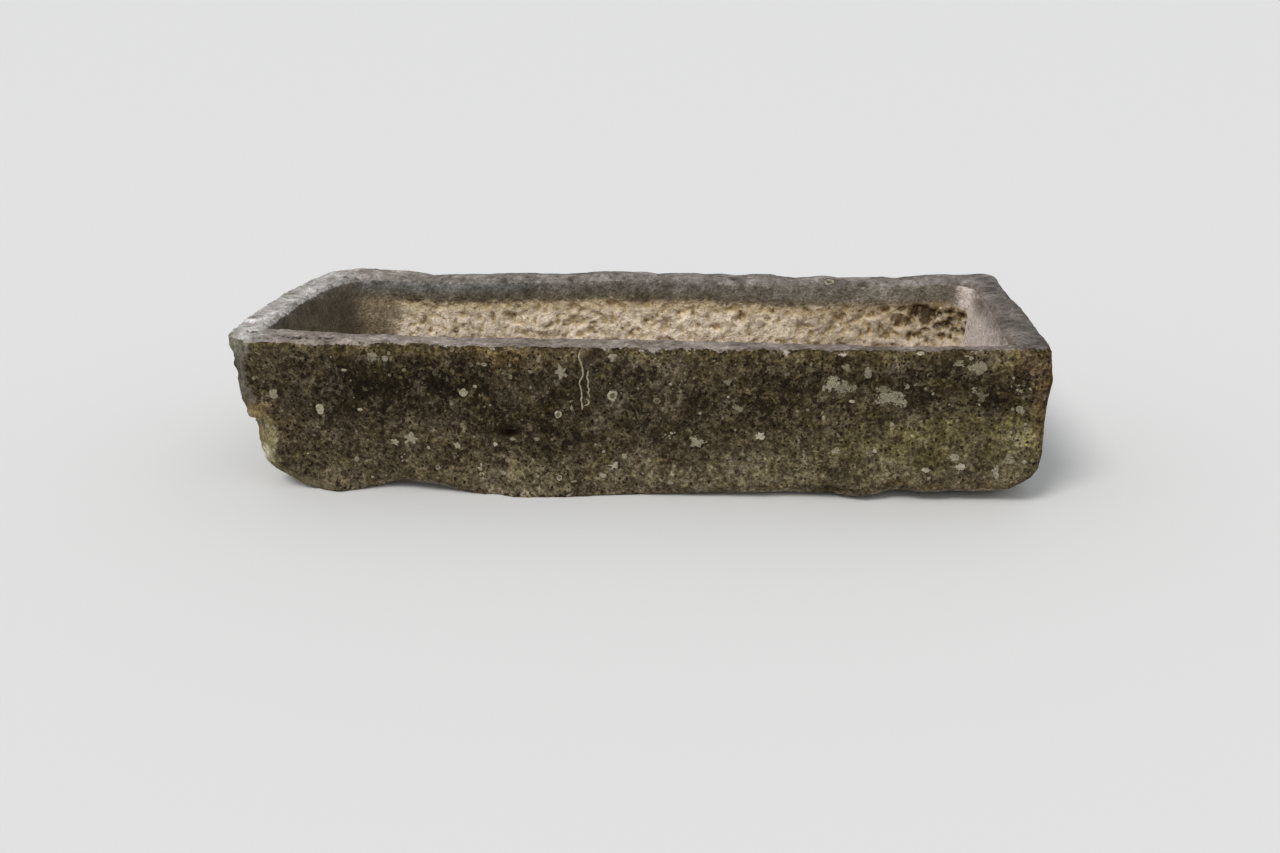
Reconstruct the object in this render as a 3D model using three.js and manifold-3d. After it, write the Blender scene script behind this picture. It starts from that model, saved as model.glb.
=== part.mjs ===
// Hewn stone trough planter: one hollowed block of limestone, and the oak bung that stops its drain.
// Millimetres, +Z up, X along the trough. The origin is under the middle of the block, on the ground.
import * as THREE from 'three';
import Module from 'manifold-3d';

const wasm = await Module();
wasm.setup();

// Driving dimensions
const length = 2197.1;
const width = 825.5;
const height = 431.8;
const hollowLength = 2012.95;
const hollowWidth = 635;
const floorThickness = 118;

// Outside of the block
const blockCorners = { frontLeft: 40, frontRight: 30, backRight: 46, backLeft: 118 };
const rimDip = 18;
const rimRound = 13;
const footRoll = 104;
const footRollHeight = 64;
const endLean = { left: 92, right: 9 };
const faceWave = 8;
const planDrift = 40;

// Wavelengths of the mason's uneven dressing
const longWave = 640;
const shortWave = 230;
const riseWave = 310;

// The hollow
const hollowCorners = { frontLeft: 26, frontRight: 36, backRight: 92, backLeft: 84 };
const floorFillet = 58;
const sideBatter = 20;
const endBatter = 30;
const mouthFlare = 13;
const hollowWave = 5;

// Weathering of the hollow's long walls: a shallow field below the band, and the largest cavities in it
const weatheredDepth = 7;
const cavityReach = 26;
const cavityDepth = 17;

// Drain and bung
const drainInset = 208;
const drainFootRadius = 24;
const drainTopRadius = 30;
const bungClearance = 0.3;
const bungFootGap = 6;
const bungShoulder = 16;
const bungNeckLength = 18;
const bungNeckDepth = 5;
const bungHeadLength = 30;
const bungChamfer = 4;

// Room that a cutting body runs past the surface it cuts
const overrun = 12;

// Wear of the rim's top, from the left end to the right, as shares of rimDip
const frontRimDipShares = [0.3, 0.5, 0.6, 0.66, 0.86, 0.95, 1, 1, 1, 1, 0.95, 0.7, 0.4];
const backRimDipShares = [0.1, 0, 0.7, 0.8, 0.4, 0.6, 0.12, 0.25, 0.75, 1, 0.92, 0.35, 0.2];

// How far the lower arris is worn back, from the left end to the right, as shares of footRoll
const frontFootShares = [0.4, 0.06, 0.22, 0.84, 0.06, 0, 0.16, 0.4, 0.55, 0.38, 0.82, 0.92, 1];
const backFootShares = [0.5, 0.35, 0.2, 0.42, 0.6, 0.3, 0.1, 0.26, 0.5, 0.62, 0.4, 0.3, 0.6];
const endFootShares = [0.95, 0.7, 0.6, 0.75, 0.5];

// How far the block's plan is out of square, as shares of planDrift
const leftDriftShares = [0.5, 0.25, 0, 0, 0.3, 0.6, 0.9];
const rightDriftShares = [0, 0, 0, 0.1, 0.26, 0.4, 0.36];
const frontDriftShares = [0.1, 0.2, 0, 0.1, 0.2, 0.1, 0, 0.15];
const backDriftShares = [0, 0, 0.3, 0.1, 0.35, 0, 0.3, 0.42, 0.3, 0];
const mouthFrontShares = [0.5, 0.35, 0.4, 0.45, 0.3, -0.1, -0.5, -0.9];
const mouthBackShares = [0.3, 0.1, 0, -0.1, 0.1, 0.2, 0, -0.1];
const mouthLeftShares = [0.4, 0.1, 0.05, 0.1, 0.9, 1];
const mouthRightShares = [0.3, 0.15, 0.1, 0.05, 0.1, 0.2];

// Shape of the profiles
const footRollPower = 2;
const footLevelShares = [0, 0.14, 0.34, 0.6, 1];
const wallLevelShares = [0.18, 0.38, 0.58, 0.78, 1];
const hollowLevelShares = [0.18, 0.38, 0.58, 0.72, 0.8, 1];
const longWaveShare = 0.62;
const blockPhaseShares = { front: 0.05, right: 0.3, back: 0.55, left: 0.8 };
const hollowPhaseShares = { front: 0.4, right: 0.15, back: 0.9, left: 0.65 };

// Where the weathered field lies on a long wall, as shares of the hollow's length and depth: its ends
// and how long they fade, and its upper edge and how high that is
const weatheredShares = { start: 0.08, end: 0.965, fade: 0.05, top: 0.8, lip: 0.06 };

// The largest cavities of each long wall: how far along and up the hollow each is, as shares of its
// length and depth, and its size as a share of cavityReach and cavityDepth
const cavityShares = {
  back: [
    [0.175, 0.48, 0.7], [0.281, 0.6, 0.9], [0.359, 0.39, 0.75], [0.413, 0.48, 0.8], [0.504, 0.56, 0.7],
    [0.583, 0.51, 0.65], [0.65, 0.62, 0.95], [0.745, 0.53, 0.8], [0.806, 0.61, 0.95], [0.876, 0.47, 0.75],
    [0.899, 0.59, 0.9], [0.929, 0.65, 1], [0.94, 0.46, 0.7], [0.125, 0.3, 0.8], [0.2, 0.25, 0.9],
    [0.27, 0.33, 0.75], [0.34, 0.24, 0.95], [0.45, 0.3, 1], [0.525, 0.27, 0.8], [0.6, 0.31, 0.9],
    [0.675, 0.36, 0.8], [0.735, 0.25, 0.95], [0.815, 0.34, 0.85], [0.88, 0.27, 1],
  ],
  front: [
    [0.12, 0.6, 0.75], [0.15, 0.36, 0.9], [0.205, 0.5, 0.85], [0.265, 0.65, 0.8], [0.28, 0.33, 0.95],
    [0.34, 0.48, 0.9], [0.4, 0.62, 0.85], [0.425, 0.34, 0.8], [0.48, 0.52, 1], [0.545, 0.37, 0.85],
    [0.56, 0.64, 0.8], [0.615, 0.5, 0.9], [0.67, 0.33, 0.95], [0.695, 0.62, 0.9], [0.75, 0.46, 0.85],
    [0.8, 0.3, 0.8], [0.82, 0.6, 1], [0.875, 0.44, 0.95], [0.925, 0.6, 0.85], [0.93, 0.31, 0.8],
  ],
};
const cavityTallShare = 0.85;

// Flat breaks of the block: the middle of each as shares of the block, which way it faces, and how
// far it reaches up and down as a share of the height
const breaks = [
  { placeShares: [-0.475, -0.457, 1], facingShares: [-0.65, -0.75, 0.05], reachShare: 0.53 },
  { placeShares: [-0.4365, -0.5, 0.24], facingShares: [-0.73, -0.68, 0], reachShare: 0.24 },
  { placeShares: [-0.42, -0.5, 0.078], facingShares: [-0.47, -0.16, -0.87], reachShare: 1 },
  { placeShares: [0.478, -0.5, 0.162], facingShares: [0.6, -0.25, -0.76], reachShare: 1 },
];

// Numbers of facets; shortSteps is even, so that an end has a middle
const longSteps = 44;
const shortSteps = 14;
const cornerSteps = 4;
const filletSteps = 4;
const roundFacets = 32;
const cavityFacets = 8;
const cavityBands = 5;

const halfShare = 0.5;
const quarterTurn = Math.PI / 2;
const fullTurn = Math.PI * 2;

const stone = new THREE.MeshStandardMaterial({ color: 0x6e6657, roughness: 0.95, metalness: 0 });
const oak = new THREE.MeshStandardMaterial({ color: 0x5a4630, roughness: 0.8, metalness: 0 });

function count(number) {
  return Array.from({ length: number }, (_, index) => index);
}

// A smooth line through evenly spaced shares, read from 0 to 1
function lineThrough(shares) {
  const line = new THREE.SplineCurve(shares.map((share, place) => new THREE.Vector2(place, share)));
  return (along) => line.getPoint(THREE.MathUtils.clamp(along, 0, 1)).y;
}

const rimDipLines = { front: lineThrough(frontRimDipShares), back: lineThrough(backRimDipShares) };
const footLines = {
  front: lineThrough(frontFootShares),
  back: lineThrough(backFootShares),
  end: lineThrough(endFootShares),
};
const driftLines = {
  front: lineThrough(frontDriftShares),
  back: lineThrough(backDriftShares),
  left: lineThrough(leftDriftShares),
  right: lineThrough(rightDriftShares),
};
const mouthLines = {
  front: lineThrough(mouthFrontShares),
  back: lineThrough(mouthBackShares),
  left: lineThrough(mouthLeftShares),
  right: lineThrough(mouthRightShares),
};

// Points of a rounded rectangle, from the middle of the left end along the front, the right end
// and the back
function outline(halfLength, halfWidth, radii) {
  const corners = [
    { x: -1, y: -1, radius: radii.frontLeft, nextSteps: longSteps },
    { x: 1, y: -1, radius: radii.frontRight, nextSteps: shortSteps },
    { x: 1, y: 1, radius: radii.backRight, nextSteps: longSteps },
    { x: -1, y: 1, radius: radii.backLeft, nextSteps: shortSteps },
  ];
  const arcs = corners.map(({ x, y, radius }, corner) => {
    const centre = new THREE.Vector2(x * (halfLength - radius), y * (halfWidth - radius));
    return count(cornerSteps + 1).map((step) => {
      const angle = Math.PI + quarterTurn * (corner + step / cornerSteps);
      return new THREE.Vector2(Math.cos(angle), Math.sin(angle)).multiplyScalar(radius).add(centre);
    });
  });
  const ring = arcs.flatMap((arc, corner) => {
    const from = arc[cornerSteps];
    const to = arcs[(corner + 1) % arcs.length][0];
    const steps = corners[corner].nextSteps;
    return [...arc, ...count(steps - 1).map((step) => from.clone().lerp(to, (step + 1) / steps))];
  });
  const halfEnd = shortSteps / 2;
  return [...ring.slice(-halfEnd), ...ring.slice(0, -halfEnd)];
}

function lengthShare(x) {
  return x / length + halfShare;
}

function widthShare(y) {
  return y / width + halfShare;
}

// Draws a point of a level in towards the middle, first by the depth of its end and then, where
// that puts it, by the depth of its side
function drawnIn(point, halfLength, halfWidth, endDepth, sideDepth) {
  const end = point.x < 0 ? 'left' : 'right';
  const side = point.y < 0 ? 'front' : 'back';
  const x = point.x * (1 - endDepth(end, point.y) / halfLength);
  const y = point.y * (1 - sideDepth(side, x) / halfWidth);
  return new THREE.Vector2(x, y);
}

// Uneven dressing of a face, from 0 on the line to 1 at its deepest
function dressing(along, rise, phaseShare) {
  const slow = Math.sin(fullTurn * (along / longWave + phaseShare));
  const quick = Math.sin(fullTurn * (along / shortWave + rise / riseWave - phaseShare));
  return halfShare + halfShare * (longWaveShare * slow + (1 - longWaveShare) * quick);
}

// Height of the worn rim above the ground
function rimHeight({ x, y }) {
  const along = lengthShare(x);
  const across = THREE.MathUtils.clamp(widthShare(y), 0, 1);
  const dipShare = THREE.MathUtils.lerp(rimDipLines.front(along), rimDipLines.back(along), across);
  return height - rimDip * Math.max(0, dipShare);
}

// A point of the block's outline at a height, drawn in to the hewn faces
function blockPoint(point, rise) {
  const footDepth = footRoll * Math.max(0, 1 - rise / footRollHeight) ** footRollPower;
  const roundDepth = Math.max(0, rise - (height - rimRound));
  const leanShare = 1 - rise / height;
  const endDepth = (end, y) =>
    footDepth * footLines.end(widthShare(y)) +
    planDrift * driftLines[end](widthShare(y)) +
    endLean[end] * leanShare +
    faceWave * dressing(y, rise, blockPhaseShares[end]) +
    roundDepth;
  const sideDepth = (side, x) =>
    footDepth * footLines[side](lengthShare(x)) +
    planDrift * driftLines[side](lengthShare(x)) +
    faceWave * dressing(x, rise, blockPhaseShares[side]) +
    roundDepth;
  return drawnIn(point, length / 2, width / 2, endDepth, sideDepth);
}

// How weathered a long wall is, from 0 on its band and at its ends to 1 in the middle of the field
function weathering(x, riseShare) {
  const along = x / hollowLength + halfShare;
  const { start, end, fade, top, lip } = weatheredShares;
  return THREE.MathUtils.clamp(Math.min(along - start, end - along) / fade, 0, 1) *
    THREE.MathUtils.clamp((top - riseShare) / lip, 0, 1);
}

// A point of the hollow's outline at a share of its depth, drawn in to the battered walls
function hollowPoint(point, riseShare, inset) {
  const rise = riseShare * height;
  const endDepth = (end, y) =>
    planDrift * mouthLines[end](widthShare(y)) +
    endBatter * (1 - riseShare) +
    hollowWave * dressing(y, rise, hollowPhaseShares[end]) +
    inset;
  const sideDepth = (side, x) =>
    planDrift * mouthLines[side](lengthShare(x)) +
    sideBatter * (1 - riseShare) +
    hollowWave * dressing(x, rise, hollowPhaseShares[side]) -
    weatheredDepth * weathering(x, riseShare) +
    inset;
  return drawnIn(point, hollowLength / 2, hollowWidth / 2, endDepth, sideDepth);
}

// Facets that close a level, facing up: a ladder from the front to the back, and then the two ends
function facetsAcross(ring) {
  const size = ring.length;
  const endSteps = shortSteps / 2 + cornerSteps;
  const ladder = count(longSteps).map((step) => {
    const near = endSteps + step;
    const far = size - near;
    return [near, near + 1, far - 1, near, far - 1, far];
  });
  const ends = [size - endSteps, size / 2 - endSteps].map((first) => {
    const places = count(2 * endSteps + 1).map((step) => (first + step) % size);
    const contour = places.map((place) => new THREE.Vector2(ring[place].x, ring[place].y));
    return THREE.ShapeUtils.triangulateShape(contour, []).flat().map((corner) => places[corner]);
  });
  return [...ladder, ...ends].flat();
}

// Closed body through stacked rings of points
function loft(rings) {
  const size = rings[0].length;
  const top = (rings.length - 1) * size;
  const sides = count(rings.length - 1).flatMap((level) =>
    count(size).flatMap((step) => {
      const here = level * size + step;
      const next = level * size + ((step + 1) % size);
      return [here, next, next + size, here, next + size, here + size];
    }),
  );
  const foot = facetsAcross(rings[0]).reverse();
  const cap = facetsAcross(rings[rings.length - 1]).map((corner) => top + corner);
  return new wasm.Manifold(
    new wasm.Mesh({
      numProp: 3,
      vertProperties: new Float32Array(rings.flat().flatMap((point) => point.toArray())),
      triVerts: new Uint32Array([...sides, ...foot, ...cap]),
    }),
  );
}

// Draws the hewn rings out to the named length and width, so that the block fills its box
function squareUp(rings) {
  const box = new THREE.Box3().setFromPoints(rings.flat());
  const size = box.getSize(new THREE.Vector3());
  const middle = box.getCenter(new THREE.Vector3());
  rings.flat().forEach((point) => {
    point.x = ((point.x - middle.x) * length) / size.x;
    point.y = ((point.y - middle.y) * width) / size.y;
  });
  return rings;
}

function blockRing(rise) {
  return outline(length / 2, width / 2, blockCorners).map((point) => {
    const place = blockPoint(point, rise);
    return new THREE.Vector3(place.x, place.y, (rise * rimHeight(point)) / height);
  });
}

function hewnBlock() {
  const wallHeight = height - rimRound - footRollHeight;
  const rises = [
    ...footLevelShares.map((share) => share * footRollHeight),
    ...wallLevelShares.map((share) => footRollHeight + share * wallHeight),
    height,
  ];
  return loft(squareUp(rises.map(blockRing)));
}

function hollowRing({ riseShare, inset, lift }) {
  return outline(hollowLength / 2, hollowWidth / 2, hollowCorners).map((point) => {
    const place = hollowPoint(point, riseShare, inset);
    const depth = rimHeight(point) - floorThickness;
    return new THREE.Vector3(place.x, place.y, floorThickness + riseShare * depth + lift);
  });
}

// The hollow: a flat floor, a round fillet, battered walls, and a mouth worn wider at its arris
function hollow() {
  const depth = height - floorThickness;
  const filletLevels = count(filletSteps + 1).map((step) => {
    const angle = (quarterTurn * step) / filletSteps;
    return {
      riseShare: (floorFillet * (1 - Math.cos(angle))) / depth,
      inset: floorFillet * (1 - Math.sin(angle)),
      lift: 0,
    };
  });
  const wallShare = (depth - floorFillet - mouthFlare) / depth;
  const wallLevels = hollowLevelShares.map((share) => ({
    riseShare: floorFillet / depth + share * wallShare,
    inset: 0,
    lift: 0,
  }));
  const mouthLevel = { riseShare: 1, inset: -2 * mouthFlare, lift: mouthFlare };
  return loft([...filletLevels, ...wallLevels, mouthLevel].map(hollowRing));
}

// A three.js geometry as a solid, with the corners that its faces share joined up
function solidOf(geometry) {
  const positions = geometry.attributes.position;
  const places = new Map();
  const points = [];
  const indexOf = (vertex) => {
    const point = new THREE.Vector3().fromBufferAttribute(positions, vertex);
    const key = point.toArray().map((value) => value.toFixed(4)).join();
    if (!places.has(key)) {
      places.set(key, points.length);
      points.push(point);
    }
    return places.get(key);
  };
  const corners = Array.from(geometry.index.array, indexOf);
  const triangles = count(corners.length / 3)
    .map((face) => corners.slice(face * 3, face * 3 + 3))
    .filter(([a, b, c]) => a !== b && b !== c && c !== a);
  return new wasm.Manifold(
    new wasm.Mesh({
      numProp: 3,
      vertProperties: new Float32Array(points.flatMap((point) => point.toArray())),
      triVerts: new Uint32Array(triangles.flat()),
    }),
  );
}

function geometryOf(solid) {
  const mesh = solid.getMesh();
  const geometry = new THREE.BufferGeometry();
  geometry.setAttribute('position', new THREE.BufferAttribute(mesh.vertProperties, 3));
  geometry.setIndex(new THREE.BufferAttribute(mesh.triVerts, 1));
  geometry.computeVertexNormals();
  return geometry;
}

// A round body from [radius, height] pairs, standing on the line of the drain
function turned(profile) {
  const points = profile.map(([radius, rise]) => new THREE.Vector2(radius, rise));
  return new THREE.LatheGeometry(points, roundFacets).rotateX(quarterTurn).translate(drainX(), 0, 0);
}

function drainX() {
  return hollowLength / 2 - drainInset;
}

// Radius of the tapered drain at a height above the ground
function drainRadius(rise) {
  return THREE.MathUtils.lerp(drainFootRadius, drainTopRadius, rise / floorThickness);
}

function drain() {
  const top = floorThickness + overrun;
  return solidOf(
    turned([
      [0, -overrun],
      [drainRadius(-overrun), -overrun],
      [drainRadius(top), top],
      [0, top],
    ]),
  );
}

// The body that one break takes away: everything past the break, as far out as the block goes
function brokenPiece({ placeShares, facingShares, reachShare }) {
  const [x, y, z] = placeShares;
  const outward = new THREE.Vector3(...facingShares).normalize();
  const across = new THREE.Vector3(0, 0, 1).cross(outward).normalize();
  const upward = outward.clone().cross(across);
  const piece = new THREE.BoxGeometry(width, 2 * reachShare * height, height);
  piece.translate(0, 0, height / 2);
  piece.applyMatrix4(new THREE.Matrix4().makeBasis(across, upward, outward));
  return solidOf(piece.translate(x * length, y * width, z * height));
}

// One weathered cavity: a rounded scoop, half of it in the wall
function cavity(side, [alongShare, riseShare, sizeShare]) {
  const y = (side === 'front' ? -1 : 1) * (hollowWidth / 2);
  const mouth = new THREE.Vector2((alongShare - halfShare) * hollowLength, y);
  const place = hollowPoint(mouth, riseShare, 0);
  const scoop = new THREE.SphereGeometry(cavityReach * sizeShare, cavityFacets, cavityBands);
  scoop.scale(1, cavityDepth / cavityReach, cavityTallShare);
  const rise = floorThickness + riseShare * (rimHeight(mouth) - floorThickness);
  return solidOf(scoop.translate(place.x, place.y, rise));
}

function troughBody() {
  const cavities = Object.entries(cavityShares).flatMap(([side, places]) =>
    places.map((place) => cavity(side, place)),
  );
  const cutters = [hollow(), drain(), ...breaks.map(brokenPiece), ...cavities];
  const block = cutters.reduce((solid, cutter) => solid.subtract(cutter), hewnBlock());
  return geometryOf(block);
}

// Tapered bung, driven into the drain from inside, with a necked head to pull it by
function drainBung() {
  const foot = bungFootGap;
  const shoulder = floorThickness + bungShoulder;
  const neck = shoulder + bungNeckLength;
  const top = neck + bungHeadLength;
  const radius = (rise) => drainRadius(rise) - bungClearance;
  const neckRadius = radius(shoulder) - bungNeckDepth;
  return turned([
    [0, foot],
    [radius(foot) - bungChamfer, foot],
    [radius(foot + bungChamfer), foot + bungChamfer],
    [radius(shoulder), shoulder],
    [neckRadius, shoulder + bungChamfer],
    [neckRadius, neck - bungChamfer],
    [radius(shoulder), neck],
    [radius(shoulder), top - bungChamfer],
    [radius(shoulder) - bungChamfer, top],
    [0, top],
  ]);
}

function named(name, geometry, material) {
  const mesh = new THREE.Mesh(geometry, material);
  mesh.name = name;
  return mesh;
}

const trough = new THREE.Group();
trough.add(named('trough_body', troughBody(), stone));
trough.add(named('drain_bung', drainBung(), oak));

export default trough;
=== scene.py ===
"""A weathered stone trough planter with its drain bung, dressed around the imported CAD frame."""

import math

import bpy
import numpy as np
from mathutils import Matrix, Vector
from mathutils.bvhtree import BVHTree


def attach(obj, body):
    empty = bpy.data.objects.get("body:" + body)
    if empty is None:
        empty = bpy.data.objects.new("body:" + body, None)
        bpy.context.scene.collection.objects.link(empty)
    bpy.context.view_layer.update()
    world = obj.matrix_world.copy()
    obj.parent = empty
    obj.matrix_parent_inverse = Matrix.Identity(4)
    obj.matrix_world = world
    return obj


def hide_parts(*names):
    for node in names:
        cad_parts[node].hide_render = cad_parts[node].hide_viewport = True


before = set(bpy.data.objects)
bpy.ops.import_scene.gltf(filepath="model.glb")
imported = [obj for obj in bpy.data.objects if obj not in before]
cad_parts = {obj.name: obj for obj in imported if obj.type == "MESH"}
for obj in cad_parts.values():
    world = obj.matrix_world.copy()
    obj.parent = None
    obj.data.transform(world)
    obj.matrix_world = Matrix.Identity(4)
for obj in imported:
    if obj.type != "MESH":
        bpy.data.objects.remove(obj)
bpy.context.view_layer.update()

# Camera, fitted to the outline of the trough in the photograph
PHOTO_SIZE = (1280, 853)
CAMERA_PLACE = (0.3659, -3.4395, 1.3417)
CAMERA_TURN = (5.965, 20.459, 1.168)
FOCAL_PIXELS = 1231.3
SENSOR = 36.0

# Trough measures that the scene works with, in metres
RIM_HEIGHT = 0.4318
HOLLOW_HALF = (1.045, 0.355)  # half the hollow's mouth, with a margin
HOLLOW_MIDDLE = 0.01
END_START = 0.86  # beyond this to the left or right, the hollow's walls turn into its ends
FLOOR_HEIGHT = 0.118
DRAIN_X = 0.7985
DRAIN_RADIUS = 0.031
BUNG_TOP = 0.182
FRONT_Y = -0.402
BACK_WALL_Y = 0.30

# Relief of the stone and of the bung, in metres
STONE_VOXEL, STONE_TRIANGLES = ((0.0042, 196000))
BUNG_VOXEL = 0.0013
PIT_SPACING = 0.017
PIT_DEPTH = 0.0026
ARRIS_REACH = 0.016
BITE_DEPTH = 0.0075
BAND_DEPTH = 0.066  # of the smoother band under the rim of the hollow
COMB_ENDS = (-0.88, 0.974)  # where the honeycomb ends, to the left and to the right
HOLLOW_REACH = 0.016  # a surface smoothed over this reach tells how far a point is sunk
SLOT_HALF = (0.027, 0.0115)
SLOT_DEPTH = 0.016
CRACK_DEPTH = 0.007
DRAIN_REACH = 0.15  # below this height the stone close round the drain stays as the CAD block has it
BUNG_FLATS = 11
# Cracks in the end grain of the bung's head: the turn of each, its reach as a share, and its width
HEAD_CHECKS = ((0.4, 0.9, 0.0011), (1.9, 0.7, 0.0008), (3.3, 0.95, 0.0013), (4.6, 0.6, 0.0008))

RECESS_PIXEL = (510, 433)
PIXEL = 1 / 372.0  # a pixel of the photograph on the front face, in metres
BLOT_PIXEL = 1 / 370.0  # the same for the blots of growth
BACK_WALL_PIXELS = (316, 296)  # pixels to a metre of the back wall, along it and up it
BROKEN_COLUMN = 895  # to the right of this pixel column the back wall's cavities are larger and deeper
DULL = 0.08  # specular level of stone and lichens

# The stage, in metres: half the floor's side, how far it lies under the bed, and the sun's direction
FLOOR_HALF = 150
FLOOR_DROP = 0.0005
SUN_FROM = (-0.45, -0.62, 1.0)


def linked(name, data):
    thing = bpy.data.objects.new(name, data)
    bpy.context.scene.collection.objects.link(thing)
    return thing


def camera_axes():
    """The camera's right, down and forward directions."""
    yaw, pitch, roll = (math.radians(turn) for turn in CAMERA_TURN)
    forward = Vector((-math.sin(yaw) * math.cos(pitch), math.cos(yaw) * math.cos(pitch), -math.sin(pitch)))
    level = Vector((math.cos(yaw), math.sin(yaw), 0))
    down = forward.cross(level)
    right = math.cos(roll) * level + math.sin(roll) * down
    return right, math.cos(roll) * down - math.sin(roll) * level, forward


def add_camera():
    data = bpy.data.cameras.new("camera")
    data.sensor_width = SENSOR
    data.lens = FOCAL_PIXELS * SENSOR / PHOTO_SIZE[0]
    data.clip_end = 400
    camera = linked("camera", data)
    right, down, forward = camera_axes()
    turn = Matrix((right, -down, -forward)).transposed().to_4x4()
    camera.matrix_world = Matrix.Translation(CAMERA_PLACE) @ turn
    bpy.context.scene.camera = camera


def pixels_of(points):
    """Where each point falls in the photograph, in pixels, and how far it is from the camera."""
    off = points - np.array(CAMERA_PLACE)
    right, down, forward = (np.array(axis) for axis in camera_axes())
    far = off @ forward
    across = PHOTO_SIZE[0] / 2 + FOCAL_PIXELS * (off @ right) / far
    return across, PHOTO_SIZE[1] / 2 + FOCAL_PIXELS * (off @ down) / far, far


def ray_through(pixel):
    """Direction of the ray from the camera through a pixel of the photograph."""
    right, down, forward = camera_axes()
    across = (pixel[0] - PHOTO_SIZE[0] / 2) / FOCAL_PIXELS
    below = (pixel[1] - PHOTO_SIZE[1] / 2) / FOCAL_PIXELS
    return (forward + right * across + down * below).normalized()


# Noise


def scrambled(cells, seed):
    """A well-mixed whole number for each whole-number cell."""
    x, y, z = (cells[:, axis].astype(np.int64).astype(np.uint32) for axis in range(3))
    mixed = (x * np.uint32(0x8DA6B343)) ^ (y * np.uint32(0xD8163841)) ^ (z * np.uint32(0xCB1AB31F))
    mixed ^= np.uint32(seed * 0x9E3779B1 & 0xFFFFFFFF)
    for shift, factor in ((16, 0x7FEB352D), (15, 0x846CA68B)):
        mixed ^= mixed >> np.uint32(shift)
        mixed *= np.uint32(factor)
    return mixed ^ (mixed >> np.uint32(16))


def parts_of(mixed):
    """Three even numbers from 0 to 1 out of each mixed one."""
    return ((mixed[:, None] >> np.array([0, 10, 20], np.uint32)) & np.uint32(1023)) / 1023.0


def smooth_noise(points, seed=0):
    """Gradient noise, mostly from -1 to 1."""
    base = np.floor(points)
    part = points - base
    fade = part**3 * (part * (part * 6 - 15) + 10)
    total = np.zeros(len(points))
    for corner in np.ndindex(2, 2, 2):
        corner = np.array(corner)
        slopes = parts_of(scrambled(base + corner, seed)) * 2 - 1
        weight = np.prod(np.where(corner, fade, 1 - fade), axis=1)
        total += weight * ((part - corner) * slopes).sum(1)
    return total * 1.9


def layered(points, size, layers, seed=0, keep=0.5, stretch=(1, 1, 1)):
    """Noise of a given size of grain, in metres, with finer layers over it."""
    scaled = points / (size * np.array(stretch))
    total = np.zeros(len(points))
    strength = 1.0
    reach = 0.0
    for layer in range(layers):
        total += strength * smooth_noise(scaled * 2**layer + layer * 17.3, seed + layer)
        reach += strength**2
        strength *= keep
    return total / math.sqrt(reach)


def scattered_cells(points, size, seed=0, stretch=(1, 1, 1)):
    """Distance to the nearest and second nearest of scattered points, in cells, and the nearest's number."""
    scaled = points / (size * np.array(stretch))
    base = np.floor(scaled)
    nearest = np.full(len(points), 9.0)
    second = np.full(len(points), 9.0)
    number = np.zeros(len(points))
    for shift in np.ndindex(3, 3, 3):
        cell = base + (np.array(shift) - 1)
        mixed = scrambled(cell, seed)
        away = np.linalg.norm(scaled - cell - parts_of(mixed), axis=1)
        closer = away < nearest
        second = np.where(closer, nearest, np.minimum(second, away))
        number = np.where(closer, parts_of(scrambled(cell, seed + 91))[:, 0], number)
        nearest = np.minimum(nearest, away)
    return nearest, second, number


def step_up(values, low, high):
    """0 below low, 1 above high and a smooth rise between them."""
    share = np.clip((values - low) / (high - low), 0, 1)
    return share * share * (3 - 2 * share)


# The stone


def with_modifier(mesh, kind, **settings):
    """A new mesh, which is this one with a modifier applied."""
    holder = linked("holder", mesh)
    modifier = holder.modifiers.new("work", kind)
    for name, value in settings.items():
        setattr(modifier, name, value)
    seen = holder.evaluated_get(bpy.context.evaluated_depsgraph_get())
    made = bpy.data.meshes.new_from_object(seen)
    bpy.data.objects.remove(holder)
    return made


def fine_copy(node, voxel, passes):
    """A node's CAD mesh, remeshed at a voxel size and smoothed in some passes."""
    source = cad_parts[node].data.copy()
    mesh = with_modifier(source, "REMESH", mode="VOXEL", voxel_size=voxel, use_smooth_shade=True)
    return with_modifier(mesh, "SMOOTH", factor=0.5, iterations=passes)


def read(items, name, width):
    flat = np.empty(len(items) * width)
    items.foreach_get(name, flat)
    return flat.reshape(-1, width)


def points_of(mesh):
    return read(mesh.vertices, "co", 3)


def normals_of(mesh):
    return read(mesh.vertex_normals, "vector", 3)


def read_values(mesh, name):
    return read(mesh.attributes[name].data, "color", 4)


def move_points(mesh, points):
    mesh.vertices.foreach_set("co", points.ravel())
    mesh.update()


def on_upright(pixel, y):
    """Where the ray through a pixel of the photograph meets an upright plane at y: (x, z)."""
    way = ray_through(pixel)
    reach = (y - CAMERA_PLACE[1]) / way.y
    return CAMERA_PLACE[0] + way.x * reach, CAMERA_PLACE[2] + way.z * reach


def on_front(pixel):
    return on_upright(pixel, FRONT_Y)


def sunken(mesh):
    """How far each point of the stone lies below its own surface when that is smoothed."""
    passes = int((2 * HOLLOW_REACH / STONE_VOXEL) ** 2)
    smoothed = with_modifier(mesh, "SMOOTH", factor=0.5, iterations=passes)
    below = ((points_of(smoothed) - points_of(mesh)) * normals_of(smoothed)).sum(1)
    bpy.data.meshes.remove(smoothed)
    return below


def add_values(mesh, name, columns):
    """Stores up to four numbers a vertex as a colour attribute."""
    values = np.zeros((len(mesh.vertices), 4))
    for place, column in enumerate(columns):
        values[:, place] = column
    layer = mesh.attributes.new(name, "FLOAT_COLOR", "POINT")
    layer.data.foreach_set("color", values.ravel())


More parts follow.
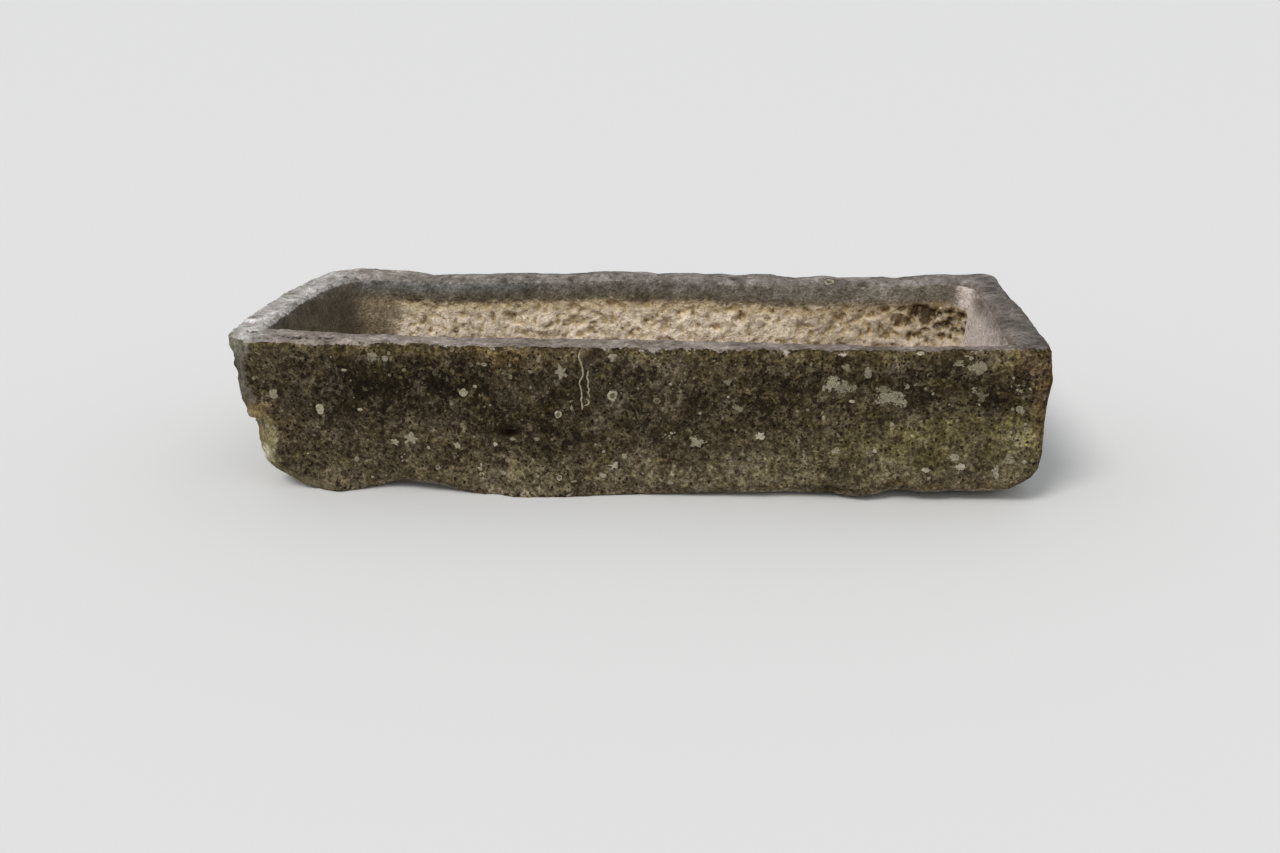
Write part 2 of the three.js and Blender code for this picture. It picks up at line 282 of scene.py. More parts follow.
def zones_of(points, normals):
    """How far each point is on the rim, in the hollow, on its floor, under the block and in the drain."""
    x, y, z = points.T
    face_x, face_y, face_z = normals.T
    over_hollow = (np.abs(x - HOLLOW_MIDDLE) < HOLLOW_HALF[0]) & (np.abs(y) < HOLLOW_HALF[1])
    facing_in = -(face_x * np.sign(x) * (np.abs(x) > END_START) + face_y * np.sign(y)) > 0.12
    floor = step_up(face_z, 0.35, 0.85) * over_hollow * (z < 0.26)
    drain = (np.hypot(x - DRAIN_X, y) < DRAIN_RADIUS) & (z < FLOOR_HEIGHT + 0.004)
    low = (z < 0.3) & ((x > -END_START) | (face_z > 0.3))
    inner = (over_hollow & (facing_in | low) & (z > FLOOR_HEIGHT - 0.01) & ~drain).astype(float)
    rim = step_up(face_z, 0.3, 0.75) * (z > 0.36)
    bed = step_up(-face_z, 0.6, 0.9) * (z < 0.05)
    return rim, inner, floor, bed, drain.astype(float)


def rim_line(points, normals):
    """Height of the worn rim over each point, read from the mesh's own front and back rims."""
    x, y, z = points.T
    edges = np.linspace(-1.1, 1.1, 45)
    middle = (edges[1:] + edges[:-1]) / 2
    lines = []
    for side in (-1, 1):
        on_rim = (normals[:, 2] > 0.8) & (z > 0.38) & (y * side > 0.33)
        heights = [z[on_rim & (x >= low) & (x < high)] for low, high in zip(edges[:-1], edges[1:])]
        lines.append([found.mean() if len(found) else RIM_HEIGHT for found in heights])
    across = np.clip(y / 0.8 + 0.5, 0, 1)
    return np.interp(x, middle, lines[0]) * (1 - across) + np.interp(x, middle, lines[1]) * across


# How far the photograph's outline lies outside the CAD block's, in pixels, by row or column of its pixels
LEFT_OUTLINE = (
    (277, 1), (280, 2), (285, 2), (290, 5), (295, 3), (300, 0), (305, 2), (310, 2), (315, 3), (320, 3.7),
    (325, 4), (330, 5), (335, 3.5), (340, 0), (345, -0.5), (350, -2.7), (355, -2.5), (360, -1), (365, 1),
    (375, 1), (385, 1.5), (395, 2.5), (405, 4), (415, 4.7), (420, 4.2), (425, 2.5), (435, 2), (455, 2.2),
    (460, 1), (465, -1.7), (470, -7), (475, -4.7), (480, -1.7), (485, -1.3), (490, 0),
)
RIGHT_OUTLINE = (
    (278, 1.7), (283, 1), (293, 1), (298, 0.3), (303, 2.2), (308, 3.5), (313, 3), (318, 2.2), (328, 1.7),
    (333, 0.5), (343, 1), (353, -0.5), (358, 0), (363, 0.5), (368, 1.7), (373, 2.7), (378, 3.7), (383, 3.7),
    (388, 2.2), (393, 1.7), (398, 0.7), (408, 0.2), (423, -0.2), (438, 0.5), (448, 1), (453, 2), (458, 1.7),
    (463, 0.7), (468, 0), (473, -1.2), (478, 0),
)
BACK_OUTLINE = (
    (314, 0.5), (330, 1.7), (346, 2.2), (362, 2), (394, 2), (410, 3), (426, 2), (434, 0.5), (450, 2.2),
    (482, 2.2), (506, 1.7), (530, 1.7), (546, 0.5), (562, 1.2), (578, 2.2), (590, 4), (606, 4.5),
    (618, 3.5), (634, 1.7), (650, 0.5), (658, -1), (666, -0.5), (682, -0.7), (698, 0), (706, -0.5),
    (722, 1), (738, 1), (750, 3), (770, 4), (782, 2.2), (794, 1.5), (806, 2.2), (818, 4), (826, 4),
    (838, 2), (858, 2), (882, 1.5), (890, 0.2), (914, 0.5), (930, 1.2), (954, 0.5), (978, 1), (994, 1),
)
FRONT_RIM_LIFT = ((226, 0), (244, 3), (262, 4.6), (300, 3.6), (340, 2.2), (400, 0.6), (440, 0))
FOOT_OUTLINE = (
    (286, -2.7), (302, 0), (318, -0.5), (326, 1.7), (342, 3.7), (350, 3), (366, 1.5), (382, 0), (398, -1),
    (414, 1.5), (430, 3), (454, 4), (470, 3.6), (486, 2.4), (493, 1), (502, 1), (510, 2), (534, 2.3),
    (566, 2.5), (598, 1.2), (638, 1.2), (662, 2.3), (734, 3), (758, 2), (774, 0.3), (790, -1.5),
    (822, -2.7), (830, -3.2), (838, 0.5), (854, 3), (862, 4), (870, 3.2), (878, 2.5), (886, 0.7), (894, -1),
    (902, -0.7), (910, 1), (918, 2.2), (934, 2), (942, 1.2), (950, -0.2), (966, 0.7), (990, 0.5),
    (1006, -0.2), (1038, -1),
)

# Cavities of the hollow's back wall: their pixel in the photograph, half width and half height in pixels
CAVITIES = (
    (903, 311, 4, 2.2), (906, 324, 5, 3), (915.5, 316, 5, 4), (919, 309, 4, 2), (926, 313, 5, 4),
    (927, 321, 5, 4), (932.5, 315, 4, 4), (939.5, 315, 2.5, 2), (938.7, 327.6, 4, 2.5),
    (946, 325.5, 4, 2.5), (952, 321, 4, 4), (950, 312, 4, 2), (960, 314, 3, 2), (953, 330.4, 3, 2.5),
    (960.6, 329, 2, 2.5), (966, 320, 2.2, 4), (910, 337.5, 2.5, 3), (915, 336.8, 3, 2),
    (920, 336.8, 2, 2.5), (941.5, 336.8, 3, 2.2), (948.6, 336.8, 1.5, 1.5), (927.4, 341, 1.6, 1.6),
    (926.7, 331, 3, 1.2), (869.6, 317, 2, 2), (874, 315.6, 1.2, 3), (869.6, 329.7, 2, 4),
    (881, 328.3, 2.5, 3), (886.5, 336.8, 3.5, 3), (861, 335.3, 2, 3), (864.7, 343.8, 1.2, 2),
    (893, 345, 1.5, 1.5), (894.3, 334, 2.5, 1.5), (893.6, 321, 2, 3), (900.6, 322.6, 3.5, 4),
    (886.5, 311, 5, 3), (845.6, 311, 4, 3), (844, 325.5, 4, 2.5), (741.5, 318.4, 4, 5),
    (733.8, 327, 3, 2.5), (718.3, 312.8, 1.4, 1.2), (764, 327, 2.5, 4), (767, 320.5, 3, 2),
    (748.6, 335.3, 3, 3), (740, 335, 1.5, 3), (723, 338, 2, 3), (782.5, 343, 3, 2), (799.4, 334.6, 5, 2.5),
    (807.8, 326.9, 5, 2.5), (805, 319.8, 2.5, 4), (822, 335.3, 4, 2), (823.4, 341, 1.3, 3),
    (837.5, 322.6, 3, 3), (843, 319.8, 4, 5), (807.8, 311.4, 1.6, 1.6), (681, 329.7, 4, 3),
    (665.4, 329.7, 6, 2), (699, 327, 3.5, 2.5), (648.5, 322.6, 5, 2.5), (851.6, 332.5, 3, 2),
    (443.7, 329.3, 2.8, 3.5), (468.5, 332.5, 1.6, 4), (479, 318, 2.2, 3), (492.6, 317.3, 2.2, 5),
    (462, 315.7, 4, 2.5), (431, 315.7, 3, 2), (508.6, 318, 6, 4), (507.8, 307, 3, 2), (518.2, 309.3, 3, 2),
    (527, 321.3, 1.6, 4), (516.6, 332.5, 3.5, 3.5), (527.8, 336.5, 5, 1.6), (539, 335.7, 6, 2),
    (560, 338, 4.5, 2), (568, 332.5, 2.5, 3), (535, 321.3, 1.8, 4), (546.3, 312.5, 3, 2),
    (538, 307, 1.6, 2.5), (572.7, 308.5, 3, 4), (579, 313.3, 1.3, 2), (576.7, 321.3, 2, 2.5),
    (564.7, 323, 2, 1.6), (590, 332.5, 4, 4), (601.5, 334, 2.5, 3), (592, 324.5, 5, 1.6),
    (580.7, 338, 3, 2), (628.8, 327, 2, 2), (637.6, 331, 2.2, 2), (398, 331, 5, 2), (418.8, 324.5, 7, 1.6),
    (393, 332.5, 3, 2), (418.8, 331, 2, 2), (613, 318, 2.5, 3), (624, 312, 2, 2), (652, 336, 2.5, 2.5),
    (690, 338, 2, 3), (708, 318, 2, 3), (779, 322, 2, 4), (788, 314, 2.5, 2), (760, 312, 2, 2),
    (455, 324, 2, 3), (556, 326, 2, 2),
)


def between(table, values):
    """The amounts of a table of places and amounts, at some values between its places."""
    return np.interp(values, [place for place, _ in table], [amount for _, amount in table])


def outline_shift(points):
    """Moves the block's edges out or in to the photograph's chipped and uneven outline."""
    x, y, z = points.T
    across, down, far = pixels_of(points)
    pixel = far / FOCAL_PIXELS
    ends = np.maximum(step_up(z, 0.33, 0.40), 1 - step_up(y, -0.3, -0.02))
    shift = np.zeros_like(points)
    shift[:, 0] -= between(LEFT_OUTLINE, down) * pixel * ends * step_up(-x, 0.93, 1.03)
    shift[:, 0] += between(RIGHT_OUTLINE, down) * pixel * ends * step_up(x, 0.93, 1.04)
    back_rim = step_up(y, 0.29, 0.345) * step_up(z, 0.30, 0.40) * step_up(1.1 - np.abs(x), 0.0, 0.06)
    shift[:, 2] += between(BACK_OUTLINE, across) * pixel * back_rim
    front_rim = step_up(-y, 0.26, 0.32) * step_up(z, 0.30, 0.41)
    shift[:, 2] += between(FRONT_RIM_LIFT, across) * pixel * front_rim
    foot = between(FOOT_OUTLINE, across) * pixel * (1 - step_up(z, 0.012, 0.085)) * step_up(-y, 0.25, 0.34)
    shift[:, 2] -= 0.9 * foot * (foot < 0)
    shift[:, 1] -= 2.4 * foot * (foot > 0)
    return shift


def cavities_of(points):
    """The photographed cavities of the back wall: 1 in their middles, 0 outside, and how deep each is."""
    x, y, z = points.T
    ragged = 0.38 * layered(points, 0.014, 2, 171)
    deepest = np.zeros(len(points))
    on_wall = np.nonzero((y > 0.2) & (y < 0.36) & (z > 0.15))[0]
    for u, v, half_width, half_height in CAVITIES:
        place_x, place_z = on_upright((u, v), BACK_WALL_Y)
        near = on_wall[np.abs(x[on_wall] - place_x) < 0.04]
        larger = 1.3 if u > BROKEN_COLUMN else 1.0
        wide = larger * 1.12 * half_width / BACK_WALL_PIXELS[0]
        tall = larger * 1.25 * half_height / BACK_WALL_PIXELS[1]
        away = np.hypot((x[near] - place_x) / wide, (z[near] - place_z) / tall) + ragged[near]
        deep = min(1.25, 0.5 + 0.16 * math.sqrt(half_width * half_height) + 0.35 * (u > BROKEN_COLUMN))
        deepest[near] = np.maximum(deepest[near], deep * (1 - step_up(away, 0.35, 1.4)))
    return deepest


class Block:
    """The fine block's points and directions, with the zones that its relief follows."""

    def __init__(self, mesh):
        self.points, self.normals = points_of(mesh), normals_of(mesh)
        self.x, self.y, self.z = self.points.T
        self.rim, self.inner, self.floor, self.bed, self.drain = zones_of(self.points, self.normals)
        self.depth = rim_line(self.points, self.normals) - self.z
        self.outer = (1 - self.rim) * (1 - self.inner) * (1 - self.bed) * (1 - self.drain)
        self.wall = self.inner * (1 - self.floor)
        self.pits = pits_of(self.points)


def pits_of(points):
    """1 in the small round pits of the weathered stone, which come in patches."""
    near, _, number = scattered_cells(points, PIT_SPACING, 21)
    sparse = step_up(layered(points, 0.12, 2, 33), -0.4, 0.5)
    return step_up(0.42 * number - near + 0.1, 0, 0.2) * (number > 0.5) * sparse


def hewn_relief(block):
    """Unevenness of the outside, lumps of the broken left end, and wear of the rim and its arrises."""
    points, x, rim = block.points, block.x, block.rim
    move = block.outer * (0.0022 * layered(points, 0.16, 3, 3) + 0.0014 * layered(points, 0.03, 3, 9))
    move -= block.outer * PIT_DEPTH * block.pits
    broken = step_up(-x, 0.97, 1.03) * (1 - block.inner) * (1 - rim)
    move += broken * (0.007 * layered(points, 0.09, 2, 35) + 0.003 * layered(points, 0.025, 2, 37))
    rough_end = step_up(-x, 0.75, 0.95)
    chips = 0.0022 * rough_end * layered(points, 0.014, 2, 43)
    move += rim * (0.0018 * layered(points, 0.06, 3, 41) + chips)
    move -= rim * (0.0022 + 0.0022 * rough_end) * block.pits
    arris = np.exp(-((block.depth / ARRIS_REACH) ** 2)) * (np.abs(block.normals[:, 2]) < 0.92)
    arris = arris * (1 - block.inner)
    bites = step_up(layered(points, 0.045, 3, 45, keep=0.6), 0.1, 1.3)
    return move - arris * BITE_DEPTH * bites


def comb_of(block):
    """How far each point is in the honeycomb, which is on the long walls, below a smoother band."""
    points, x = block.points, block.x
    edge_depth = BAND_DEPTH + 0.010 * layered(points, 0.09, 2, 51) + 0.009 * layered(points, 0.016, 3, 53)
    below = step_up(block.depth, edge_depth - 0.006, edge_depth + 0.016)
    left_limit = COMB_ENDS[0] + 0.04 * layered(points, 0.12, 2, 57)
    right_limit = COMB_ENDS[1] + 0.012 * layered(points, 0.02, 2, 59)
    along = step_up(x, left_limit, left_limit + 0.15) * (1 - step_up(x, right_limit, right_limit + 0.02))
    long_wall = step_up(np.abs(block.normals[:, 1]), 0.25, 0.5)
    return block.wall * below * along * long_wall


def cells_of(points, size, seed, low, high, tall):
    """Rounded cells of a size, some of them left out."""
    near, second, number = scattered_cells(points, size, seed, stretch=(1, 1, tall))
    return step_up(second - near, low, high) * step_up(number, 0.3, 0.8)


def honeycomb(points, block):
    """How deep the weathering cuts the long walls, and how high the ridges stand that it leaves."""
    bent = points + 0.012 * np.stack([layered(points, 0.035, 2, seed) for seed in (61, 62, 63)], 1)
    valleys = step_up(layered(bent, 0.047, 2, 69, keep=0.6, stretch=(1, 1, 1.1)), -0.1, 0.9)
    # Where the photograph shows the wall, its own cavities take the place of most cells
    seen = (block.y > 0.2) * step_up(block.z, 0.215, 0.245)
    cut = 0.0100 * valleys + 0.011 * cells_of(bent, 0.030, 65, 0.02, 0.6, 1.35) * (1 - 0.82 * seen)
    cut = cut + 0.0022 * cells_of(bent, 0.015, 67, 0.05, 0.5, 1.3)
    holes = cavities_of(points) * (0.55 + 0.6 * step_up(block.x, 0.5, 0.85))
    cut = np.maximum(cut, 0.005 * valleys + 0.0115 * holes)
    ridges = 0.0075 * (np.abs(layered(bent, 0.042, 2, 77, keep=0.5, stretch=(1, 1, 1.3))) - 0.35)
    ridges += 0.0022 * (np.abs(layered(points, 0.017, 2, 79, keep=0.6)) - 0.35)
    return cut, ridges


def slot_of(block, points):
    """1 in the shallow recess of the front face."""
    place_x, place_z = on_front(RECESS_PIXEL)
    along, up = SLOT_HALF
    uneven = 0.004 * layered(points, 0.02, 2, 89)
    across = ((block.x - place_x) / along) ** 4
    return np.exp(-across - ((block.z - place_z + uneven) / up) ** 4) * (block.y < -0.3)


def kept_still(block):
    """0 in the drain, where the stone meets the bung, little on the bed and 1 elsewhere."""
    away = np.hypot(block.x - DRAIN_X, block.y)
    low = block.z < DRAIN_REACH
    return (1 - np.maximum(block.drain, block.bed * 0.8)) * (step_up(away, 0.036, 0.06) * low + ~low)


def stone_mesh():
    """The CAD block, remeshed finely, dressed, pitted and worn."""
    mesh = fine_copy("trough_body", STONE_VOXEL, 6)
    block = Block(mesh)
    move = hewn_relief(block)

    # The CAD block has the field's recess and its largest cavities, so only the rest of each is cut here
    comb = comb_of(block)
    softened = with_modifier(mesh, "SMOOTH", factor=0.5, iterations=int((0.02 / STONE_VOXEL) ** 2))
    points = block.points + (points_of(softened) - block.points) * (0.75 * comb)[:, None]
    bpy.data.meshes.remove(softened)
    cut, ridges = honeycomb(points, block)
    there = np.maximum(sunken(mesh), 0)
    move -= comb * (np.maximum(cut - there, 0) - 0.0035 - ridges)

    # Calm walls, and a floor left from the pick
    move += block.wall * (1 - comb) * 0.0016 * layered(points, 0.04, 3, 81)
    strokes = step_up(layered(points, 0.016, 2, 87, keep=0.4, stretch=(3.2, 0.8, 1)), 0.2, 1.0)
    lumps = 0.0026 * layered(points, 0.09, 3, 85)
    move += block.floor * block.inner * (lumps - 0.0016 * block.pits - 0.0022 * strokes)

    slot = slot_of(block, points)
    shift = outline_shift(points)
    move -= SLOT_DEPTH * slot
    move -= CRACK_DEPTH * cracks_of(points + shift) * block.rim
    points = points + block.normals * (move * kept_still(block))[:, None] + shift
    points[:, 2] = np.maximum(points[:, 2], 0)
    move_points(mesh, points)
    add_values(mesh, "zones", (block.rim, block.inner, block.floor, comb))
    hollows = np.maximum(sunken(mesh), -0.01)
    pits = block.pits * (block.outer + block.rim + block.floor)
    add_values(mesh, "relief", (hollows, pits, block.depth, slot))
    add_values(mesh, "facing", block.normals.T)
    faces = sum(len(face.vertices) - 2 for face in mesh.polygons)
    mesh = with_modifier(mesh, "DECIMATE", decimate_type="COLLAPSE", ratio=min(1.0, STONE_TRIANGLES / faces))
    mesh.name = "stone"
    return mesh


# Colour of the stone: a wash of broad colour on the mesh, which the material breaks up


def linear(colour):
    """A 0 to 255 screen colour as linear light."""
    share = np.asarray(colour, float) / 255
    return np.where(share <= 0.04045, share / 12.92, ((share + 0.055) / 1.055) ** 2.4)


def blended(under, over, share):
    """Mixes a colour, or one colour a point, over another by a share a point."""
    return under + (over - under) * np.clip(share, 0, 1)[:, None]


def coats(under, *layers):
    """Screen colours laid in turn over a screen colour or a wash, each by its share a point."""
    wash = linear(under) if isinstance(under, tuple) else under
    for colour, share in layers:
        wash = blended(wash, linear(colour), share)
    return wash


def blot(points, pixel, reach, warp):
    """Soft blot on the front face round a pixel of the photograph, with its reach in pixels each way."""
    x, z = on_front(pixel)
    off_x = (points[:, 0] - x + warp[0]) / (reach[0] * BLOT_PIXEL)
    off_z = (points[:, 2] - z + warp[1]) / (reach[1] * BLOT_PIXEL)
    return np.exp(-(off_x**2) - off_z**2) * (points[:, 1] < -0.3)


# Blots of the front face by their pixel and reach in the photograph, with how much of the stain each has
DARK_BLOTS = (
    ((440, 388), (105, 34), 0.9), ((340, 388), (60, 30), 0.6), ((262, 388), (34, 26), 0.3),
    ((520, 428), (45, 24), 0.7), ((612, 372), (52, 32), 0.55), ((790, 384), (62, 26), 0.6),
    ((740, 408), (60, 22), 0.45), ((930, 384), (60, 22), 0.4), ((1004, 396), (30, 20), 0.9),
    ((660, 430), (40, 20), 0.3), ((555, 490), (85, 2.5), 1.2),
)
PALE_BLOTS = (
    ((275, 375), (26, 50), 0.3), ((380, 468), (95, 20), 0.45), ((620, 478), (150, 17), 0.7),
    ((880, 480), (110, 11), 0.6), ((700, 372), (36, 18), 0.35), ((770, 470), (70, 22), 0.65),
    ((935, 455), (125, 30), 0.7), ((1030, 455), (24, 34), 0.5), ((520, 470), (40, 12), 0.2),
)
ALGAE_BLOTS = (
    ((930, 436), (90, 26), 1.0), ((880, 452), (70, 18), 0.8), ((1010, 440), (40, 30), 0.8),
    ((700, 432), (34, 16), 0.5), ((820, 356), (60, 10), 0.3), ((1030, 365), (26, 22), 0.5),
)
OCHRE_BLOTS = (
    ((512, 357), (24, 8), 0.9), ((470, 350), (70, 6), 0.7), ((712, 348), (34, 9), 0.5),
    ((1034, 360), (20, 16), 0.95), ((1040, 385), (12, 26), 0.8), ((1038, 425), (12, 26), 0.6),
    ((262, 426), (16, 26), 0.8), ((400, 480), (66, 5), 0.6), ((960, 486), (70, 5), 0.7),
    ((770, 486), (16, 5), 1.0),
)


def blots(points, table, warp):
    total = np.zeros(len(points))
    for pixel, reach, amount in table:
        total += amount * blot(points, pixel, reach, warp)
    return total


# Right-hand border of the broken left end, as the photograph's rows and columns
LEFT_STRIP = (
    (330, 228), (340, 247), (350, 250), (360, 245), (385, 249), (400, 257), (410, 265), (418, 272),
    (425, 276), (445, 277), (458, 274), (465, 282), (474, 298), (480, 316), (488, 340),
)

# Cracks of the rim, as paths through the photograph's pixels
CRACKS = (
    ((282, 336.6), (290, 337.6), (297, 338.0), (303, 336.0), (308, 335.6), (316, 335.0)),
    ((292, 338.4), (300, 338.9), (309, 338.2)),
    ((318, 337.6), (325, 338.8), (334, 338.2)),
    ((246, 331), (251, 332.4), (257, 332.0)),
)


def near_path(across, down, path, reach):
    """1 on a path through the photograph's pixels, and 0 beyond its reach."""
    nearest = np.full(len(across), 99.0)
    for (u0, v0), (u1, v1) in zip(path[:-1], path[1:]):
        length = (u1 - u0) ** 2 + (v1 - v0) ** 2
        share = np.clip(((across - u0) * (u1 - u0) + (down - v0) * (v1 - v0)) / length, 0, 1)
        off = np.hypot(across - u0 - share * (u1 - u0), down - v0 - share * (v1 - v0))
        nearest = np.minimum(nearest, off)
    return 1 - step_up(nearest, 0.3 * reach, reach)


def cracks_of(points):
    """1 on the cracks of the rim."""
    across, down, _ = pixels_of(points)
    cracks = np.zeros(len(points))
    for path in CRACKS:
        cracks = np.maximum(cracks, near_path(across, down, path, 1.3))
    return cracks * (points[:, 2] > 0.38) * (points[:, 1] < -0.25)


class Skin:
    """What the washes are worked out from at each point: zones, relief and three sizes of mottling."""

    def __init__(self, mesh):
        self.points = points_of(mesh)
        self.x, self.y, self.z = self.points.T
        self.across, self.down, _ = pixels_of(self.points)
        self.face_x, self.face_y, self.face_z, _ = read_values(mesh, "facing").T
        self.rim, self.inner, self.floor, self.comb = read_values(mesh, "zones").T
        self.hollows, self.pits, self.depth, self.slot = read_values(mesh, "relief").T
        self.end_wall = step_up(np.abs(self.face_x), 0.4, 0.8)
        self.broad = layered(self.points, 0.17, 3, 101)
        self.middling = layered(self.points, 0.05, 3, 111)
        self.small = layered(self.points, 0.018, 2, 121)


def outside_wash(skin):
    """Grey-brown stone under dark growth, algae, ochre and a painted highlight along the foot, and the dark
    and the pale stain alone.
    """
    points, z, inner = skin.points, skin.z, skin.inner
    broad, middling, small = skin.broad, skin.middling, skin.small
    warp = (0.03 * layered(points, 0.09, 2, 131), 0.02 * layered(points, 0.09, 2, 141))
    elsewhere = 1 - step_up(-skin.face_y, 0.3, 0.7) * (skin.y < -0.3)
    green = step_up(layered(points, 0.21, 2, 151), 0.1, 0.9)
    rusty = step_up(layered(points, 0.1, 3, 161), 0.5, 1.2)
    dark = blots(points, DARK_BLOTS, warp) + elsewhere * (0.35 + 0.35 * broad)
    pale = blots(points, PALE_BLOTS, warp) + elsewhere * step_up(-z, -0.13, 0.02) * 0.6
    algae = blots(points, ALGAE_BLOTS, warp) + elsewhere * green * 0.7
    ochre = blots(points, OCHRE_BLOTS, warp) + elsewhere * rusty * 0.5
    mood = pale - dark + 0.22 * broad + 0.2 * middling
    mottled = 0.8 + 0.4 * small
    top_edge = np.exp(-(((skin.depth - 0.012) / 0.02) ** 2)) * (1 - inner)
    # Painted highlight along the rounded foot: a paler strip up to about 45 mm high, paler still in patches
    # at the very bottom
    low_edge_highlight = step_up(-z, -0.045, -0.012) * (1 - inner)
    foot_highlight = step_up(-z, -0.026, -0.008) * (1 - inner) * step_up(middling + 0.5 * small, -0.1, 0.9)
    wash = coats(
        (66, 57, 41),
        ((36, 29, 17), -mood * 0.9),
        ((100, 91, 69), mood * 0.9),
        ((90, 83, 47), algae * 0.55 * (0.7 + 0.5 * middling)),
        ((112, 88, 52), ochre * 0.6 * mottled),
        ((92, 80, 52), top_edge * 0.6 * mottled),
        ((112, 101, 80), low_edge_highlight * 0.65),
        ((154, 136, 108), foot_highlight * 0.55),
    )
    return wash, dark, pale


def broken_end(skin, wash):
    """Adds the breaks of the left end, grey above and yellower where fresher, and says where they are."""
    x, y, across, down = skin.x, skin.y, skin.across, skin.down
    small, middling = skin.small, skin.middling
    left_break = step_up(-skin.face_x, 0.45, 0.7) * step_up(-x, 0.9, 1.0) * (1 - skin.inner)
    left_break *= 1 - (y < -0.25) * 0.7
    border = between(LEFT_STRIP, down)
    strip = (border - across) * (y < -0.1) * (x < -0.8) + 2.2 * small
    strip = step_up(strip, -1.5, 2.5) * step_up(-y, 0.2, 0.3) * (x < -0.8) * (1 - skin.inner)
    edges = np.exp(-(((across - border + 1) / 1.3) ** 2)) * step_up(down, 414, 424)
    greys = coats(
        (104, 98, 86),
        ((70, 64, 51), step_up(middling + small, -0.6, 1.0)),
        ((122, 119, 104), step_up(skin.z, 0.35, 0.4) * (0.7 + 0.5 * small)),
    )
    fresh = coats(
        (120, 110, 78),
        ((158, 149, 116), step_up(small + 0.5 * middling, 0.1, 1.2)),
        ((124, 104, 72), 1 - step_up(down, 404, 424)),
        ((102, 94, 70), step_up(down, 458, 470)),
        ((184, 177, 152), edges * (1 - step_up(down, 452, 462)) * 0.8),
        ((196, 188, 160), np.exp(-(((across - 267) / 4) ** 2) - ((down - 454) / 7) ** 2)),
    )
    wash = coats(wash, ((100, 95, 84), left_break * 0.7))
    return blended(wash, blended(greys, fresh, step_up(down, 396, 410)), strip * 0.9), strip


def calm_walls(skin):
    """The hollow's smooth walls: brown, darker to the left with painted shade and stain, mauve-grey to the
    right with a painted highlight in its corner, under a grey band.
    """
    x, depth, end_wall = skin.x, skin.depth, skin.end_wall
    broad, middling, small = skin.broad, skin.middling, skin.small
    far_left, far_right = step_up(-x, 0.9, 1.0), step_up(x, 0.93, 0.99)
    band = (1 - step_up(depth + 0.006 * small, BAND_DEPTH - 0.016, BAND_DEPTH + 0.012)) * (1 - far_right)
    blueish = step_up(skin.face_y * -np.sign(skin.y), 0.5, 0.8) * step_up(-x, 0.2, 0.5) * (1 - far_left)
    band_colour = coats(
        (128, 121, 114),
        ((122, 120, 117), blueish),
        ((106, 98, 84), step_up(depth, 0.016, 0.06)),
        ((70, 65, 57), step_up(middling + small, -0.3, 1.4) * 0.75),
        ((134, 126, 112), step_up(x, 0.1, 0.6) * 0.6),
    )
    walls = coats(
        (146, 130, 106),
        # The left end is darker with painted shade and stain, the painted shade strongest on the end wall
        # itself
        ((118, 108, 91), step_up(-x, 0.86, 0.95) * (0.5 + 0.5 * end_wall)),
        ((82, 75, 64), far_left * step_up(middling + 0.5 * broad, -0.5, 1.3) * 0.7),
        ((153, 142, 134), far_right),
        ((98, 90, 84), far_right * step_up(middling + 0.4 * small, -0.2, 0.9) * 0.75),
    )
    walls = blended(walls, band_colour, band * 0.95 * (1 - 0.5 * end_wall))
    # Painted highlight: a pale strip down the hollow's right-hand corner, fainter over the band
    corner = step_up(x, 0.942, 0.974) * (1 - step_up(x, 0.99, 1.004)) * (1 - 0.3 * band)
    return coats(walls, ((230, 215, 206), corner * 0.92))


def honeycomb_wash(skin):
    """Cream honeycomb with painted light below and painted shade above, browner stone and painted shade in
    its hollows, and the deepest painted shade in those at the top right.
    """
    x, z, middling, small = skin.x, skin.z, skin.middling, skin.small
    # Painted light on the lower honeycomb, and painted shade on its upper part to the right, darker still at
    # the top right
    lit_lower = step_up(skin.depth, BAND_DEPTH + 0.014, BAND_DEPTH + 0.055)
    shaded_upper = step_up(x, 0.38, 0.62) * step_up(z, 0.2, 0.26) * (0.6 + 0.4 * step_up(small, -0.4, 0.6))
    shaded_top_right = step_up(x, 0.78, 0.9) * step_up(z, 0.27, 0.3) * step_up(middling + small, -1.2, 0.6)
    darkest_shade = step_up(cavities_of(skin.points), 0.48, 0.8) * step_up(x, 0.76, 0.84) * step_up(z, 0.24, 0.29)
    # Painted shade in the hollows, laid over browner stone, deepens with how far each is sunk; the large
    # cavities at the top right get the darkest
    sunk = skin.hollows + 0.0008 * small
    return coats(
        (212, 193, 158),
        ((243, 226, 204), lit_lower * (0.7 + 0.3 * step_up(-middling, -0.6, 0.8))),
        ((208, 186, 150), step_up(middling, 0.1, 1.2) * 0.5),
        ((150, 131, 102), shaded_upper * 0.72),
        ((140, 118, 82), shaded_top_right * 0.65),
        ((192, 168, 124), step_up(sunk, 0.0, 0.003) * 0.85),
        ((138, 113, 72), step_up(sunk, 0.0042, 0.0072) * 0.85),
        ((62, 45, 22), step_up(sunk, 0.009, 0.0125) * (0.3 + 0.6 * step_up(x, 0.7, 0.85))),
        ((58, 42, 21), darkest_shade * 0.8),
    )


def floor_wash(skin):
    """The hollow's floor, with silt, algae, pale rubs and a stain round the drain."""
    broad, middling, small = skin.broad, skin.middling, skin.small
    stain = np.exp(-((np.hypot(skin.x - DRAIN_X, skin.y) / 0.16) ** 2)) * (0.8 + 0.4 * small)
    return coats(
        (122, 109, 88),
        ((64, 54, 40), step_up(middling + 0.6 * broad, -0.5, 0.7)),
        ((90, 86, 56), step_up(broad - 0.4 * middling, 0.3, 1.2) * 0.5),
        ((158, 145, 122), step_up(-broad - small, 0.7, 1.6) * 0.6),
        ((52, 43, 31), stain),
    )


